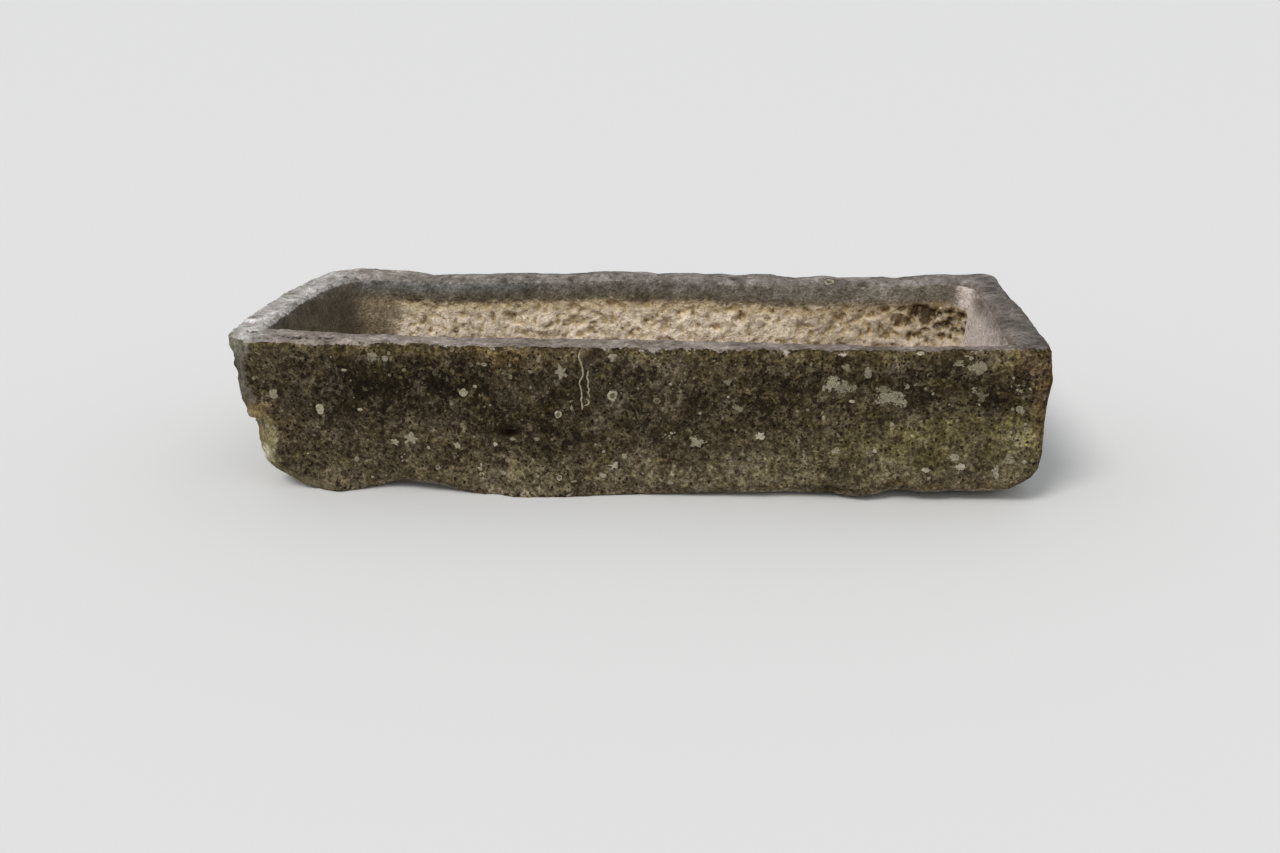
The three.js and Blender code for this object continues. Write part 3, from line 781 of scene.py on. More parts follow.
def bare_rim_wash(skin):
    """Worn bare stone of the rim with its cracks, whitish at the left end and greyer to the right."""
    x, y, middling, small = skin.x, skin.y, skin.middling, skin.small
    back = y > 0.25
    wash = coats(
        (140, 130, 121),
        ((124, 113, 105), step_up(x, -0.2, 1.0)),
        ((172, 167, 161), step_up(-x, 0.9, 1.02) + 0.4 * step_up(-x, 0.5, 0.95) * (y > 0)),
        ((188, 183, 178), step_up(-x, 0.96, 1.03) * (1 - step_up(y, -0.1, 0.25)) * 0.7),
        ((104, 98, 93), step_up(x, 0.99, 1.04) * 0.8),
        ((132, 126, 121), back * 0.6 * (1 - step_up(-x, 0.6, 0.9))),
        ((156, 141, 138), 0.55 * step_up(middling, 0.2, 1.1)),
        ((86, 79, 70), 0.6 * step_up(-middling - 0.4 * small, 0.3, 1.2)),
        ((60, 56, 52), 0.75 * step_up(x, 0.98, 1.06) * step_up(small + middling, -0.1, 1.2)),
        ((74, 70, 65), 0.6 * back * step_up(-small - 0.5 * middling, 0.2, 1.1)),
        ((118, 114, 98), step_up(-x, 1.03, 1.06) * step_up(-y, 0.3, 0.36) * 0.7),
    )
    # Painted shade in the rim's pits, and the cracks dark
    return coats(wash * (1 - 0.5 * skin.pits)[:, None], ((46, 38, 30), cracks_of(skin.points) * 0.95))


def paint_stone(mesh):
    """Stores the wash, the rim's own wash and the masks that the material reads."""
    skin = Skin(mesh)
    x, inner, comb = skin.x, skin.inner, skin.comb
    wash, dark, pale = outside_wash(skin)
    wash, strip = broken_end(skin, wash)
    walls = blended(calm_walls(skin), honeycomb_wash(skin), step_up(comb, 0.12, 0.75))
    walls = blended(walls, floor_wash(skin), skin.floor)
    wash = blended(wash, walls, step_up(inner, 0.3, 0.7))
    underside = step_up(-skin.face_z, 0.7, 0.9) * (1 - inner)
    # The underside is greyer, and the recess of the front face gets painted shade, coloured nearly black
    wash = coats(wash, ((116, 108, 94), underside), ((34, 17, 8), skin.slot))
    # Painted shade: the stone is darker in its pits and in hollows sunk below the smoothed surface, outside
    # the honeycomb
    wash = wash * (1 - 0.45 * skin.pits * (1 - comb))[:, None]
    wash = wash * (1 - 0.35 * step_up(skin.hollows, 0.001, 0.005) * (1 - step_up(comb, 0.1, 0.5)))[:, None]
    add_values(mesh, "wash", (*wash.T, np.clip(inner * (1 - comb), 0, 1)))

    # The bare stone goes over the hollow's lip, and the growth of the front creeps over the rim's edge
    lip = inner * (1 - step_up(skin.depth + 0.004 * skin.small, 0.004, 0.018)) * 0.8
    crept = step_up(-skin.y + 0.008 * skin.middling + 0.004 * skin.small, 0.368, 0.402)
    crept = crept * step_up(x, -1.0, -0.55)
    add_values(mesh, "rim_wash", (*bare_rim_wash(skin).T, np.maximum(skin.rim * (1 - 0.8 * crept), lip)))
    outer = (1 - step_up(inner, 0.3, 0.7)) * (1 - step_up(-skin.face_z, 0.8, 0.95))
    outer *= (1 - 0.85 * strip) * (1 - skin.slot)
    contrast = outer + (1 - outer) * (0.45 - 0.2 * step_up(comb, 0.2, 0.7) - 0.22 * skin.end_wall * inner)
    streaks = 0.14 * step_up(x, 0.96, 1.03) + 0.06 * skin.rim
    gloom = np.clip(dark, 0, 1) - 0.55 * np.clip(pale, 0, 1)
    add_values(mesh, "masks", (outer, contrast, gloom, streaks))


class Nodes:
    """Short calls that build a material's nodes."""

    def __init__(self, name):
        self.material = bpy.data.materials.new(name)
        self.material.use_nodes = True
        self.tree = self.material.node_tree
        self.shader = self.tree.nodes["Principled BSDF"]
        self.place = self.add("ShaderNodeTexCoord").outputs["Object"]

    def add(self, kind, feeds=(), **settings):
        """A node with some settings, and its inputs fed by name or number."""
        node = self.tree.nodes.new(kind)
        for name, value in settings.items():
            setattr(node, name, value)
        for place, value in dict(feeds).items():
            self.feed(node.inputs[place], value)
        return node

    def feed(self, socket, value):
        if isinstance(value, bpy.types.NodeSocket):
            self.tree.links.new(value, socket)
        else:
            socket.default_value = value

    def sum(self, operation, *values, clamp=False):
        return self.add("ShaderNodeMath", enumerate(values), operation=operation, use_clamp=clamp).outputs[0]

    def product(self, *values):
        total = values[-1]
        for value in values[-2::-1]:
            total = self.sum("MULTIPLY", value, total)
        return total

    def weighted(self, *pairs):
        """Sum of values, each times its weight."""
        total = 0.0
        for value, weight in pairs:
            total = self.sum("MULTIPLY_ADD", value, weight, total)
        return total

    def rise(self, value, low, high):
        """0 below low and 1 above high."""
        feeds = {"Value": value, "From Min": low, "From Max": high}
        return self.add("ShaderNodeMapRange", feeds, interpolation_type="SMOOTHSTEP").outputs["Result"]

    def noise(self, size, detail, rough=0.5, stretch=None):
        """Noise of a size of grain in metres, centred on 0."""
        place = self.place
        if stretch:
            feeds = {"Vector": place, "Scale": [1 / share for share in stretch]}
            place = self.add("ShaderNodeMapping", feeds).outputs["Vector"]
        feeds = {"Vector": place, "Scale": 1 / size, "Detail": detail, "Roughness": rough}
        return self.sum("SUBTRACT", self.add("ShaderNodeTexNoise", feeds).outputs[0], 0.5)

    def parts(self, colour):
        return self.add("ShaderNodeSeparateColor", {0: colour}).outputs[:3]

    def dots(self, size, low, high, share):
        """Round dots, one in some of the cells of a size, fading from low to high of a cell's width."""
        node = self.add("ShaderNodeTexVoronoi", {"Vector": self.place, "Scale": 1 / size})
        chance, wide, _ = self.parts(node.outputs["Color"])
        kept = self.sum("LESS_THAN", chance, share)
        width = self.sum("MULTIPLY_ADD", wide, high - low, low)
        spread = self.sum("MULTIPLY_ADD", self.noise(size / 3, 2), 0.42, node.outputs["Distance"])
        return self.product(kept, self.rise(self.sum("SUBTRACT", width, spread), 0.0, 0.03))

    def values(self, name):
        """A colour attribute of the mesh: its colour, its three parts and its fourth."""
        node = self.add("ShaderNodeAttribute", attribute_name=name)
        return node.outputs["Color"], *self.parts(node.outputs["Color"]), node.outputs["Alpha"]

    def mix(self, share, under, over, kind="MIX"):
        feeds = {0: share, 6: under, 7: over}
        return self.add("ShaderNodeMix", feeds, data_type="RGBA", blend_type=kind).outputs[2]

    def contrasted(self, colour, power):
        """A colour times 2 to a power, with a little less of it in red and a little more in blue."""
        channels = [self.sum("POWER", 2.0, self.product(power, share)) for share in (0.96, 1.0, 1.07)]
        factor = self.add("ShaderNodeCombineColor", enumerate(channels)).outputs[0]
        return self.mix(1.0, colour, factor, "MULTIPLY")

    def bump(self, height, distance, normal=None):
        feeds = {"Distance": distance, "Height": height} | ({"Normal": normal} if normal else {})
        return self.add("ShaderNodeBump", feeds).outputs["Normal"]

    def laid(self, colour, tint, *shares):
        """A screen colour over a colour, by the product of some shares."""
        return self.mix(self.product(*shares), colour, rgba(tint))

    def finished(self, colour, roughness, specular, normal=None):
        """The material, with its shader fed."""
        self.feed(self.shader.inputs["Base Color"], colour)
        self.feed(self.shader.inputs["Roughness"], roughness)
        self.shader.inputs["Specular IOR Level"].default_value = specular
        if normal:
            self.feed(self.shader.inputs["Normal"], normal)
        return self.material


def rgba(colour):
    return (*linear(colour), 1.0)


class Mottling:
    """The noises that both the stone and its lichens are mottled with, and the masks that say where."""

    def __init__(self, make):
        self.outer, self.contrast, self.dark, self.streaks = make.values("masks")[1:5]
        self.fine = make.noise(0.0085, 2, 0.7)
        self.grain = make.noise(0.019, 3, 0.65)
        self.patches = make.noise(0.055, 4, 0.6)


def grown_over(make, colour, mottling):
    """The wash under patches of three crusts, mottled, and then under black growth and pale specks."""
    outer, dark, patches = mottling.outer, mottling.dark, mottling.patches
    clouds = make.noise(0.13, 3, 0.6)
    for size, low, high, share, tint in (
        (0.062, 0.02, 0.10, 0.34, (88, 79, 67)),
        (0.047, 0.03, 0.13, 0.3, (86, 75, 42)),
        (0.028, 0.09, 0.14, 0.35, (108, 100, 84)),
    ):
        crust = make.rise(make.noise(size, 5, 0.68), low, high)
        colour = make.laid(colour, tint, crust, outer, share)
    crisp = make.rise(make.noise(0.0115, 2, 0.7), -0.09, 0.07)
    coarse = make.rise(make.noise(0.027, 4, 0.7), -0.06, 0.05)
    speckle = ((crisp, 1.1), (coarse, 0.7), (mottling.fine, 4.2), (mottling.grain, 2.0))
    power = make.weighted(*speckle, (patches, 3.4), (clouds, 3.2), (1.0, -0.82))
    colour = make.contrasted(colour, make.product(power, mottling.contrast))

    # Black growth: ragged blotches where the stain is dark, and dots of it everywhere. Then scurf and specks
    growth = make.weighted((make.noise(0.03, 5, 0.7), 1.0), (patches, 0.5), (dark, 0.10))
    colour = make.laid(colour, (27, 22, 13), make.rise(growth, 0.085, 0.125), outer, 0.78)
    black = make.dots(0.0115, 0.14, 0.44, make.weighted((dark, 0.3), (patches, 1.4), (1.0, 0.34)))
    colour = make.laid(colour, (20, 15, 8), black, outer, 0.85)
    scurf = make.weighted((make.noise(0.016, 3, 0.7), 1.0), (patches, 0.35))
    colour = make.laid(colour, (112, 102, 80), make.rise(scurf, 0.10, 0.14), outer, 0.5)
    crumbs = make.dots(0.014, 0.12, 0.34, make.weighted((patches, -1.2), (1.0, 0.16)))
    colour = make.laid(colour, (118, 107, 80), crumbs, outer, 0.55)
    specks = make.dots(0.027, 0.09, 0.19, 0.25)
    return make.laid(colour, (142, 134, 112), specks, outer, 0.7)


def comb_colour(make, colour, patches):
    """Painted shade in the honeycomb's small pores, over browner stone, and painted highlights on its pale
    crests.
    """
    comb = make.values("zones")[4]
    # Painted shade in small pores, over browner stone
    pore_shade = make.dots(0.019, 0.10, 0.34, make.weighted((patches, 1.2), (1.0, 0.26)))
    colour = make.laid(colour, (116, 93, 58), pore_shade, comb, 0.6)
    # Painted highlights on pale crests
    crest_highlights = make.rise(make.noise(0.021, 3, 0.6), 0.05, 0.09)
    return make.laid(colour, (250, 236, 214), crest_highlights, comb, 0.3)


def rim_colour(make, wash, mottling, across):
    """The rim's bare stone, with dark flecks and pale chips."""
    crisp = make.rise(make.noise(0.0115, 2, 0.7), -0.09, 0.07)
    speckle = ((crisp, 0.25), (mottling.fine, 2.0), (mottling.grain, 2.2))
    power = make.weighted(*speckle, (mottling.patches, 3.5), (1.0, -0.1))
    power = make.sum("MULTIPLY_ADD", make.product(across, mottling.streaks), 2.2, power)
    colour = make.contrasted(wash, power)
    colour = make.laid(colour, (78, 70, 58), make.dots(0.017, 0.08, 0.24, 0.42), 0.6)
    return make.laid(colour, (186, 178, 170), make.dots(0.023, 0.08, 0.2, 0.22), 0.6)


def stone_material():
    make = Nodes("weathered limestone")
    wash = make.values("wash")
    rim_wash = make.values("rim_wash")
    mottling = Mottling(make)
    fine, grain, patches = mottling.fine, mottling.grain, mottling.patches
    across = make.noise(0.012, 4, 0.65, stretch=(3.0, 0.6, 1.0))
    upright = make.noise(0.011, 3, 0.6, stretch=(0.8, 0.8, 2.4))
    colour = grown_over(make, wash[0], mottling)
    colour = make.contrasted(colour, make.product(upright, wash[4], 0.7))
    colour = comb_colour(make, colour, patches)
    edge = make.weighted((rim_wash[4], 1.0), (patches, 1.1), (grain, 1.0), (fine, 0.4))
    bare = rim_colour(make, rim_wash[0], mottling, across)
    colour = make.mix(make.rise(edge, 0.42, 0.56), colour, bare)
    normal = make.bump(fine, 0.005, make.bump(grain, 0.007))
    normal = make.bump(make.product(across, mottling.streaks), 0.004, normal)
    inside = make.sum("SUBTRACT", 1.0, mottling.outer, clamp=True)
    normal = make.bump(make.product(upright, inside), 0.004, normal)
    return make.finished(colour, make.sum("MULTIPLY_ADD", grain, 0.25, 0.9, clamp=True), DULL, normal)


# Lichens of the front: pixel in the photograph, width and height in pixels, shape and lightness
LICHENS = (
    (273.6, 394, 9, 9, "plain", 0.45), (320, 409, 8, 10, "plain", 0.85), (360, 409.6, 5, 3, "plain", 0.7),
    (463.5, 392.6, 9, 7, "plain", 0.6), (372.7, 358, 12, 10, "crust", 0.4),
    (385, 358.6, 6, 6, "plain", 0.4), (411, 438.6, 12, 10, "star", 0.5), (395, 441.8, 7, 6, "star", 0.55),
    (457.5, 445.7, 6, 6, "star", 0.75), (428.6, 448, 4, 4, "plain", 0.4), (407, 458, 10, 8, "spots", 0.55),
    (438, 467, 5, 5, "ring", 0.5), (357, 459, 5, 5, "plain", 0.4), (372.7, 477, 3, 3, "plain", 0.6),
    (344, 370, 5, 3, "plain", 0.6), (404, 370, 5, 3, "plain", 0.15), (484, 364.5, 5, 4, "plain", 0.45),
    (495.5, 444.5, 4, 4, "plain", 0.85), (561.4, 372, 10, 12, "star", 0.45), (613, 357, 8, 8, "star", 0.5),
    (612.5, 395.6, 9, 10, "ring", 0.75), (558, 414.6, 7, 7, "ring", 0.8), (572, 408.4, 4, 4, "star", 0.4),
    (512.6, 439, 7, 4, "plain", 0.4), (536.5, 439, 6, 4, "star", 0.35), (479, 467.8, 8, 10, "spots", 0.75),
    (483, 476, 5, 5, "spots", 0.6), (559.5, 477.7, 6, 5, "ring", 0.95), (537.5, 476, 3, 3, "plain", 0.35),
    (614, 465.5, 8, 7, "star", 0.85), (624.5, 456.3, 5, 5, "plain", 0.6),
    (603.5, 475.8, 6, 5, "plain", 0.6), (603.5, 451.5, 3, 3, "plain", 0.7),
    (574, 481.5, 6, 2, "plain", 0.45), (539.4, 489.8, 2, 8, "plain", 0.5), (697, 442, 12, 11, "star", 0.5),
    (700, 413, 3, 3, "plain", 0.7), (737.4, 407.5, 9, 8, "crust", 0.3), (760.4, 436, 9, 7, "star", 0.9),
    (667.6, 436, 12, 8, "spots", 0.65), (670.5, 384, 3, 3, "plain", 0.6), (625.5, 396, 5, 5, "plain", 0.05),
    (657, 401, 7, 6, "ring", 0.2), (713.5, 389.3, 6, 5, "plain", 0.0), (728, 382.6, 7, 6, "crust", 0.25),
    (595.8, 444.8, 3, 3, "plain", 0.4), (670.5, 483, 6, 3, "plain", 0.4), (686, 481, 8, 4, "crust", 0.25),
    (832, 383.5, 13, 17, "crust", 0.45), (845, 387, 17, 12, "crust", 0.28), (868, 373, 7, 10, "plain", 0.3),
    (847, 367.8, 7, 7, "crust", 0.3), (892, 398.4, 27, 14, "crust", 0.38), (883, 390, 14, 8, "crust", 0.2),
    (978, 367.8, 16, 12, "crust", 0.35), (959, 363.7, 11, 6, "crust", 0.3),
    (981.8, 396.3, 10, 9, "star", 0.1), (974.7, 391, 6, 6, "spots", 0.5),
    (1024.7, 389, 13, 9, "spots", 0.5), (1020.6, 410.6, 8, 9, "crust", 0.35),
    (964.5, 408.6, 10, 5, "crust", 0.0), (907, 386.7, 5, 5, "star", 0.4), (852, 401.4, 5, 3, "plain", 0.95),
    (822.7, 413.7, 3, 8, "spots", 0.7), (892, 424.5, 4, 4, "plain", 0.55), (798, 441, 3, 8, "spots", 0.35),
    (836, 450.4, 8, 6, "star", 0.55), (874.7, 451, 4, 4, "plain", 1.0), (925.7, 469.8, 8, 5, "star", 0.85),
    (960.4, 467, 8, 7, "star", 0.8), (954, 457.6, 13, 7, "crust", 0.5), (996, 473, 8, 14, "crust", 0.5),
    (1010, 460.6, 9, 8, "crust", 0.4), (1005, 484, 5, 4, "plain", 0.15), (887, 475, 3, 3, "plain", 0.6),
    (928.8, 478.6, 3, 3, "plain", 0.6), (933, 393.7, 3, 3, "plain", 0.5),
    (968.6, 358.6, 7, 5, "spots", 0.8), (920.6, 353.5, 7, 4, "plain", 0.9),
    (811, 364.7, 3, 3, "plain", 0.3), (749, 458.6, 6, 5, "crust", 0.2), (1025.7, 424, 3, 3, "plain", 0.6),
    (1024.7, 430, 2, 5, "plain", 0.5), (953, 372, 5, 4, "plain", 0.0), (829, 282, 11, 7, "ring", 0.75),
)

# Pale strands that run down the front face, by the photograph's pixels
STRANDS = (
    (
        (580.2, 351), (578.6, 356.8), (582.4, 367.6), (583.2, 375.2), (579.9, 381.3), (579.4, 383.9),
        (581.4, 390), (581.9, 397.1), (581.2, 399.7), (582.4, 405.8), (582.2, 409.9),
    ),
    (
        (588.3, 370.6), (587, 377.8), (588.6, 381.8), (587.8, 386.9), (589.3, 389.5), (588.1, 393.1),
        (590.1, 397.1),
    ),
    ((586.3, 398.7), (589.1, 401.2), (588.6, 404.3), (584.5, 405.8)),
)
# Each shape of lichen: how far its lobes swing and how broken it is
LOBES = {"plain": 0.10, "ring": 0.08, "star": 0.26, "crust": 0.24}
RAGGED = {"plain": 0.45, "ring": 0.3, "star": 0.6, "crust": 1.35}
# A patch's rings of points: their share of its reach, and their height as a share of its thickness
PATCH_RINGS = ((0.0, 0.9), (0.34, 1.0), (0.68, 0.9), (0.9, 0.8), (1.0, -0.6))
RING_HEIGHTS = (0.1, 0.35, 1.1, 1.0, -0.6)  # the same heights for a ring-shaped lichen
CRUST_THICKNESS = 0.0009
PATCH_THICKNESS = 0.0013


class Crusts:
    """Thin closed patches that lie on the stone, gathered into one mesh."""

    def __init__(self, surface, ground, seed):
        self.surface = surface
        self.ground = ground
        self.chance = np.random.default_rng(seed)
        self.points = []
        self.faces = []
        self.tints = []
        self.under = []

    def ripple(self, turns, shape):
        """How far the patch reaches at each turn, as a share of its size."""
        ripple = np.ones(len(turns))
        for wave in range(2, 9):
            swing = LOBES[shape] * (1.0 if shape == "star" and wave in (5, 6) else 1.3 / wave)
            ripple += swing * self.chance.normal() * np.cos(wave * turns + self.chance.uniform(0, 6.3))
        return np.clip(ripple, 0.35, 1.6)

    def add_point(self, point, face, tint):
        self.points.append(point)
        self.under.append(face)
        self.tints.append(tint)

    def lay(self, place, normal, half_width, half_height, shape, lightness):
        """One patch: rings of points round its middle, each set on the stone and raised a little."""
        around = int(np.clip(max(half_width, half_height) / 0.0011, 12, 44))
        level = Vector((0, 0, 1)).cross(normal)
        level = level.normalized() if level.length > 0.1 else Vector((1, 0, 0))
        rise = normal.cross(level)
        turns = np.linspace(0, 2 * math.pi, around, endpoint=False)
        ripple = self.ripple(turns, shape)
        thick = CRUST_THICKNESS if shape == "crust" else PATCH_THICKNESS
        start = len(self.points)
        for number, (share, height) in enumerate(PATCH_RINGS):
            height = RING_HEIGHTS[number] if shape == "ring" else height
            hollow = 0.85 if shape == "ring" and number < 2 else 0.0
            for turn, reach in zip(turns[: 1 if number == 0 else around], ripple):
                spread = share * reach
                spot = place + level * (spread * half_width * math.cos(turn))
                spot += rise * (spread * half_height * math.sin(turn))
                on_stone, facing, face, _ = self.surface.find_nearest(spot)
                bumpy = height * thick
                if height > 0:
                    bumpy *= 1 + 0.3 * self.chance.normal()
                self.add_point(on_stone + facing * bumpy, face, (lightness, hollow, share, RAGGED[shape]))
        sunk, facing, face, _ = self.surface.find_nearest(place)
        self.add_point(sunk - facing * 0.003, face, (lightness, 0, 1, 0))
        self.join_rings(start, around)

    def join_rings(self, start, around):
        last = start + 1 + 3 * around
        for step in range(around):
            after = (step + 1) % around
            self.faces.append((start, start + 1 + step, start + 1 + after))
            for low in range(start + 1, last, around):
                self.faces.append((low + step, low + around + step, low + around + after, low + after))
        for step in range(around):
            self.faces.append((last + (step + 1) % around, last + step, len(self.points) - 1))

    def scatter(self, place, normal, half_width, half_height, shape, lightness):
        """A patch, or for spots a loose group of small ones."""
        if shape != "spots":
            self.lay(place, normal, half_width, half_height, shape, lightness)
            return
        level = Vector((0, 0, 1)).cross(normal).normalized()
        rise = normal.cross(level)
        for _ in range(7):
            off = self.chance.uniform(-1, 1, 2)
            size = 0.0022 + 0.0026 * self.chance.random()
            spot = place + level * (off[0] * half_width) + rise * (off[1] * half_height)
            light = lightness * self.chance.uniform(0.6, 1.1)
            self.lay(spot, normal, size, size * self.chance.uniform(0.7, 1.2), "plain", light)

    def piece(self, name):
        """The mesh object, with the colours that the stone has under each point."""
        mesh = bpy.data.meshes.new(name)
        mesh.from_pydata([tuple(point) for point in self.points], [], self.faces)
        mesh.shade_smooth()
        add_values(mesh, "tint", np.array(self.tints).T)
        corners = [self.ground.polygons[face].vertices[0] for face in self.under]
        kinds = ("wash", "rim_wash", "masks")
        wash, rim_wash, masks = (read_values(self.ground, kind)[corners] for kind in kinds)
        on_rim = rim_wash[:, 3:]
        masks[:, :1] *= 1 - on_rim
        add_values(mesh, "wash", (wash * (1 - on_rim) + rim_wash * on_rim).T)
        add_values(mesh, "masks", masks.T)
        return linked(name, mesh)


def surface_of(mesh):
    return BVHTree.FromPolygons([v.co for v in mesh.vertices], [f.vertices for f in mesh.polygons])


def add_lichens(surface, ground):
    crusts = Crusts(surface, ground, 7)
    for u, v, width, height, shape, lightness in LICHENS:
        place, normal, _, _ = surface.ray_cast(Vector(CAMERA_PLACE), ray_through((u, v)))
        crusts.scatter(place, normal, 0.6 * width * PIXEL, 0.6 * height * PIXEL, shape, lightness)
    # The other sides carry the same lichens, and the front a few more small ones, scattered by chance
    chance = np.random.default_rng(19)
    sides = (
        (230, lambda: (chance.uniform(-1.05, 1.05), 0.6, chance.uniform(0.04, 0.4)), (0, -1, 0)),
        (70, lambda: (-1.4, chance.uniform(-0.36, 0.36), chance.uniform(0.04, 0.4)), (1, 0, 0)),
        (80, lambda: (1.4, chance.uniform(-0.36, 0.36), chance.uniform(0.04, 0.4)), (-1, 0, 0)),
        (70, lambda: (chance.uniform(-1.02, 1.05), -0.6, chance.uniform(0.04, 0.41)), (0, 1, 0)),
    )
    for number, start, way in sides:
        for _ in range(number):
            place, normal, _, _ = surface.ray_cast(Vector(start()), Vector(way))
            size = 0.0025 + 0.0065 * chance.random() ** 2.5 + 0.012 * (chance.random() > 0.95)
            shape = ("plain", "plain", "star", "ring", "crust", "spots")[chance.integers(6)]
            if way[1] > 0:
                size *= 0.45
                shape = "plain"
            tall = size * chance.uniform(0.7, 1.2)
            crusts.scatter(place, normal, size, tall, shape, chance.uniform(0.15, 0.85))
    return crusts.piece("lichens")


def finely_divided(path):
    """A path with points added along it, about a pixel apart."""
    line = []
    for (u0, v0), (u1, v1) in zip(path[:-1], path[1:]):
        steps = max(2, int(math.hypot(u1 - u0, v1 - v0) / 0.9))
        line += [(u0 + (u1 - u0) * t / steps, v0 + (v1 - v0) * t / steps) for t in range(steps)]
    return line + [path[-1]]


def add_strands(surface):
    """Thin pale strands: a low round ridge laid along each path, thinning out at its ends."""
    points, faces = [], []
    chance = np.random.default_rng(5)
    for path in STRANDS:
        pixels = finely_divided(path)
        hits = [surface.ray_cast(Vector(CAMERA_PLACE), ray_through(pixel)) for pixel in pixels]
        first = len(points)
        for number, (place, normal, _, _) in enumerate(hits):
            before = hits[max(0, number - 1)][0]
            after = hits[min(len(hits) - 1, number + 1)][0]
            side = (after - before).normalized().cross(normal).normalized()
            ends = min(1.0, (min(number, len(hits) - 1 - number) + 1) / 4)
            half = (0.0023 + 0.0005 * chance.normal()) * (0.4 + 0.6 * ends)
            for turn in range(6):
                angle = turn * math.pi / 3
                rise = normal * (0.0017 * ends * math.sin(angle))
                points.append(place + side * (half * math.cos(angle)) + rise)
        for low in range(first, len(points) - 6, 6):
            for turn in range(6):
                after = (turn + 1) % 6
                faces.append((low + turn, low + after, low + 6 + after, low + 6 + turn))
        faces.append(tuple(first + turn for turn in range(6))[::-1])
        faces.append(tuple(len(points) - 6 + turn for turn in range(6)))
    mesh = bpy.data.meshes.new("strands")
    mesh.from_pydata([tuple(point) for point in points], [], faces)
    mesh.shade_smooth()
    return linked("strands", mesh)


def lichen_material():
    """Crusts whose ragged edges and holes let the stone's own colour through."""
    make = Nodes("lichen crust")
    _, lightness, hollow, share, ragged = make.values("tint")
    mottling = Mottling(make)
    fine = mottling.fine
    ground = grown_over(make, make.values("wash")[0], mottling)
    specks = make.noise(0.005, 3, 0.7)
    colour = make.mix(lightness, rgba((80, 73, 55)), rgba((186, 177, 155)))
    colour = make.laid(colour, (116, 116, 86), make.rise(make.noise(0.03, 1), -0.1, 0.1), 0.25)
    colour = make.laid(colour, (74, 68, 50), hollow)
    colour = make.contrasted(colour, make.weighted((specks, 2.6), (fine, 1.8)))
    holes = make.product(ragged, make.weighted((make.noise(0.012, 3, 0.7), 2.6), (1.0, 0.1)))
    cover = make.weighted((share, -1.0), (specks, 0.9), (fine, 0.6), (1.0, 1.14))
    cover = make.rise(make.sum("SUBTRACT", cover, holes), 0.08, 0.28)
    return make.finished(make.mix(cover, ground, colour), 0.95, DULL, make.bump(fine, 0.004))


def strand_material():
    make = Nodes("pale strand")
    fine = make.noise(0.004, 3, 0.6)
    colour = make.contrasted(rgba((158, 148, 124)), make.weighted((fine, 3.0)))
    return make.finished(colour, 0.9, 0.1)


def whittled(points, normals, angle):
    """Knife flats, each a shallow chord off the round, and raised grain and cracks down the sides."""
    upright = 1 - step_up(np.abs(normals[:, 2]), 0.5, 0.85)
    turned = angle * BUNG_FLATS / (2 * math.pi) + 0.25 * layered(points * (0, 0, 1), 0.05, 2, 201)
    crest = np.abs(turned - np.floor(turned) - 0.5) * 2
    move = -upright * 0.0011 * (1 - crest**2)
    thread = layered(points, 0.0035, 3, 211, keep=0.6, stretch=(1, 1, 12))
    move += upright * 0.00028 * np.minimum(thread, 0.6)
    crack = np.abs(layered(points, 0.012, 2, 221, stretch=(1, 1, 9)))
    move -= upright * 0.0011 * (1 - step_up(crack, 0.0, 0.09)) * step_up(points[:, 2], 0.1, 0.15)
    return move


def head_checks(angle, radius):
    """1 in the radial cracks of the head's end grain."""
    checks = np.zeros(len(angle))
    for turn, reach, width in HEAD_CHECKS:
        away = np.abs(np.sin(angle - turn + 0.12 * np.sin(radius * 260))) * radius
        inside = (np.cos(angle - turn) > 0) * (radius < 0.03 * reach)
        checks = np.maximum(checks, (1 - step_up(away, 0, width * 1.6)) * inside)
    return checks


def bung_mesh():
    """The CAD bung, remeshed finely and whittled, with a sawn head that the mallet has bruised."""
    mesh = fine_copy("drain_bung", BUNG_VOXEL, 3)
    points, normals = points_of(mesh), normals_of(mesh)
    x, y, z = points.T
    radius, angle = np.hypot(x - DRAIN_X, y), np.arctan2(y, x - DRAIN_X)
    move = whittled(points, normals, angle)
    top = step_up(normals[:, 2], 0.6, 0.9) * (z > BUNG_TOP - 0.012)
    saw_marks = step_up(layered(points, 0.005, 2, 231, stretch=(0.4, 6, 1)), -0.2, 0.8)
    move -= top * (0.0022 * head_checks(angle, radius) + 0.0004 * saw_marks)
    bruised = step_up(radius, 0.018, 0.026) * step_up(z, BUNG_TOP - 0.012, BUNG_TOP - 0.002)
    move -= bruised * 0.0016 * step_up(layered(points, 0.009, 2, 241), -0.3, 1.0)
    move_points(mesh, points + normals * np.minimum(move, 0.0002)[:, None])
    add_values(mesh, "wood", (top, step_up(z, 0.11, 0.14), bruised))
    mesh.name = "whittled_bung"
    return mesh


def from_heart(make):
    """Distance of each point from the upright line where the tree's heart was."""
    heart = {0: make.place, 1: (DRAIN_X + 0.006, -0.004, 0)}
    off = make.add("ShaderNodeVectorMath", heart, operation="SUBTRACT").outputs[0]
    level = make.add("ShaderNodeVectorMath", {0: off, 1: (1, 1, 0)}, operation="MULTIPLY").outputs[0]
    return make.add("ShaderNodeVectorMath", {0: level}, operation="LENGTH").outputs["Value"]


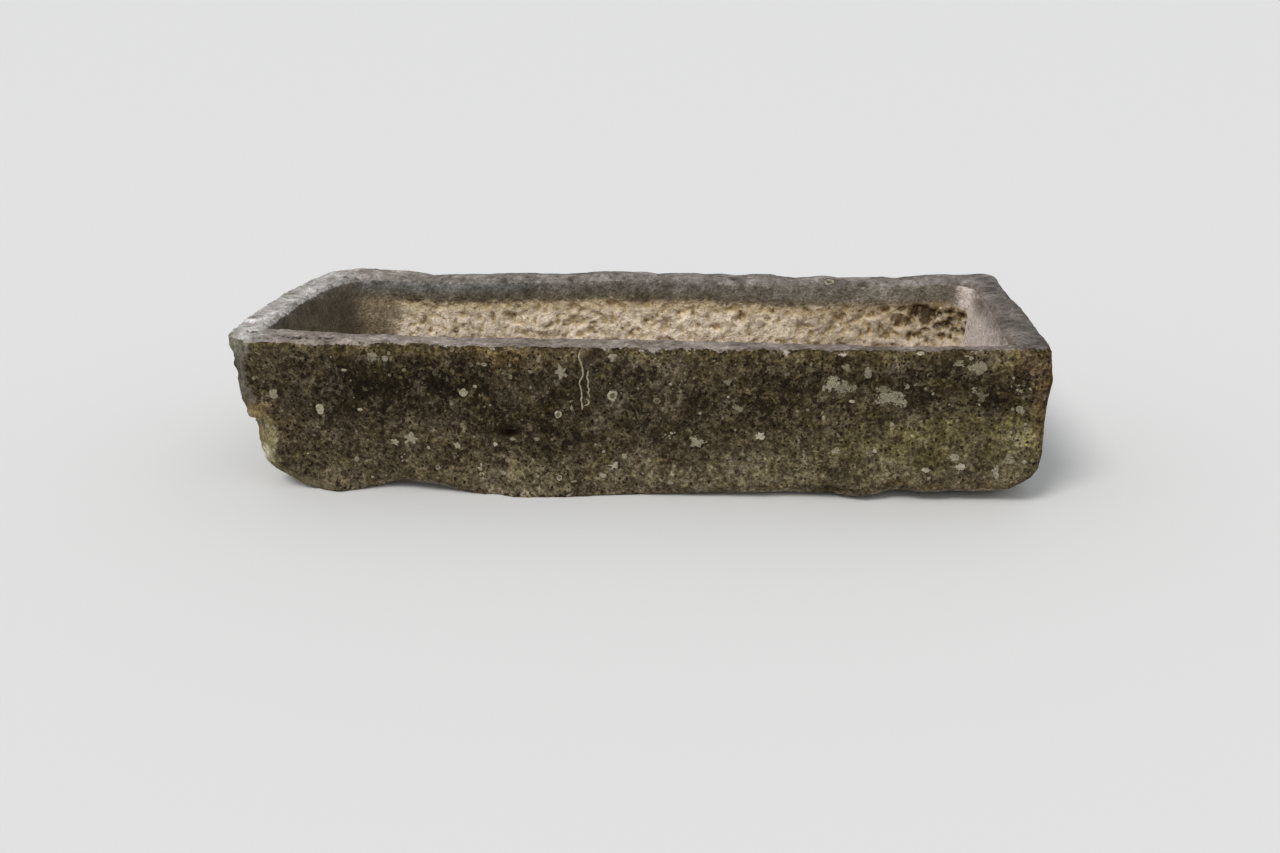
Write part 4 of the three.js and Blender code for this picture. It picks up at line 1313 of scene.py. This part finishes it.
def oak_material():
    make = Nodes("weathered oak")
    _, top, above, bruised, _ = make.values("wood")
    grain = make.noise(0.0030, 4, 0.65, stretch=(1, 1, 14))
    rays = make.noise(0.0065, 2, 0.6, stretch=(1, 1, 5))
    fine = make.noise(0.0016, 3, 0.6)
    stain = make.noise(0.03, 3, 0.6)
    colour = make.mix(above, rgba((86, 66, 44)), rgba((134, 108, 76)))
    colour = make.contrasted(colour, make.weighted((grain, 5.5), (rays, 3.0), (fine, 1.6), (stain, 3.2)))
    wavy = make.sum("MULTIPLY_ADD", make.noise(0.012, 2), 0.010, from_heart(make))
    rings = make.sum("SINE", make.sum("MULTIPLY", wavy, 2600.0))
    ringed = make.weighted((rings, 0.28), (fine, 3.0), (stain, 2.5))
    end_grain = make.contrasted(rgba((120, 98, 70)), ringed)
    colour = make.laid(make.mix(top, colour, end_grain), (156, 134, 102), bruised, 0.45)
    roughness = make.sum("MULTIPLY_ADD", rays, 0.4, 0.78, clamp=True)
    return make.finished(colour, roughness, 0.25, make.bump(fine, 0.0012, make.bump(grain, 0.0022)))


def add_floor():
    mesh = bpy.data.meshes.new("floor")
    half = FLOOR_HALF
    corners = [(x, y, -FLOOR_DROP) for x, y in ((-half, -half), (half, -half), (half, half), (-half, half))]
    mesh.from_pydata(corners, [], [(0, 1, 2, 3)])
    floor = linked("floor", mesh)
    material = bpy.data.materials.new("pale floor")
    material.use_nodes = True
    shader = material.node_tree.nodes["Principled BSDF"]
    shader.inputs["Base Color"].default_value = (0.78, 0.78, 0.77, 1)
    shader.inputs["Roughness"].default_value = 0.9
    mesh.materials.append(material)


def add_light():
    """Soft light from all round, and a wide sun from the front left."""
    world = bpy.data.worlds.new("world")
    world.use_nodes = True
    sky = world.node_tree.nodes["Background"]
    sky.inputs["Color"].default_value = (0.95, 0.97, 1, 1)
    sky.inputs["Strength"].default_value = 0.62
    bpy.context.scene.world = world
    sun = bpy.data.lights.new("sun", "SUN")
    sun.energy = 1.5
    sun.angle = math.radians(22)
    sun.color = (1, 0.98, 0.95)
    linked("sun", sun).rotation_euler = Vector(SUN_FROM).to_track_quat("Z", "Y").to_euler()
    bpy.context.scene.view_settings.view_transform = "Standard"


add_camera()
stone = linked("stone", stone_mesh())
paint_stone(stone.data)
stone.data.materials.clear()
stone.data.materials.append(stone_material())
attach(stone, "trough")
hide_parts("trough_body")
stone_surface = surface_of(stone.data)
crusts = add_lichens(stone_surface, stone.data)
for piece, material in ((crusts, lichen_material()), (add_strands(stone_surface), strand_material())):
    piece.data.materials.append(material)
    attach(piece, "trough")
bung = linked("whittled_bung", bung_mesh())
bung.data.materials.clear()
bung.data.materials.append(oak_material())
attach(bung, "bung")
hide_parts("drain_bung")
add_floor()
add_light()
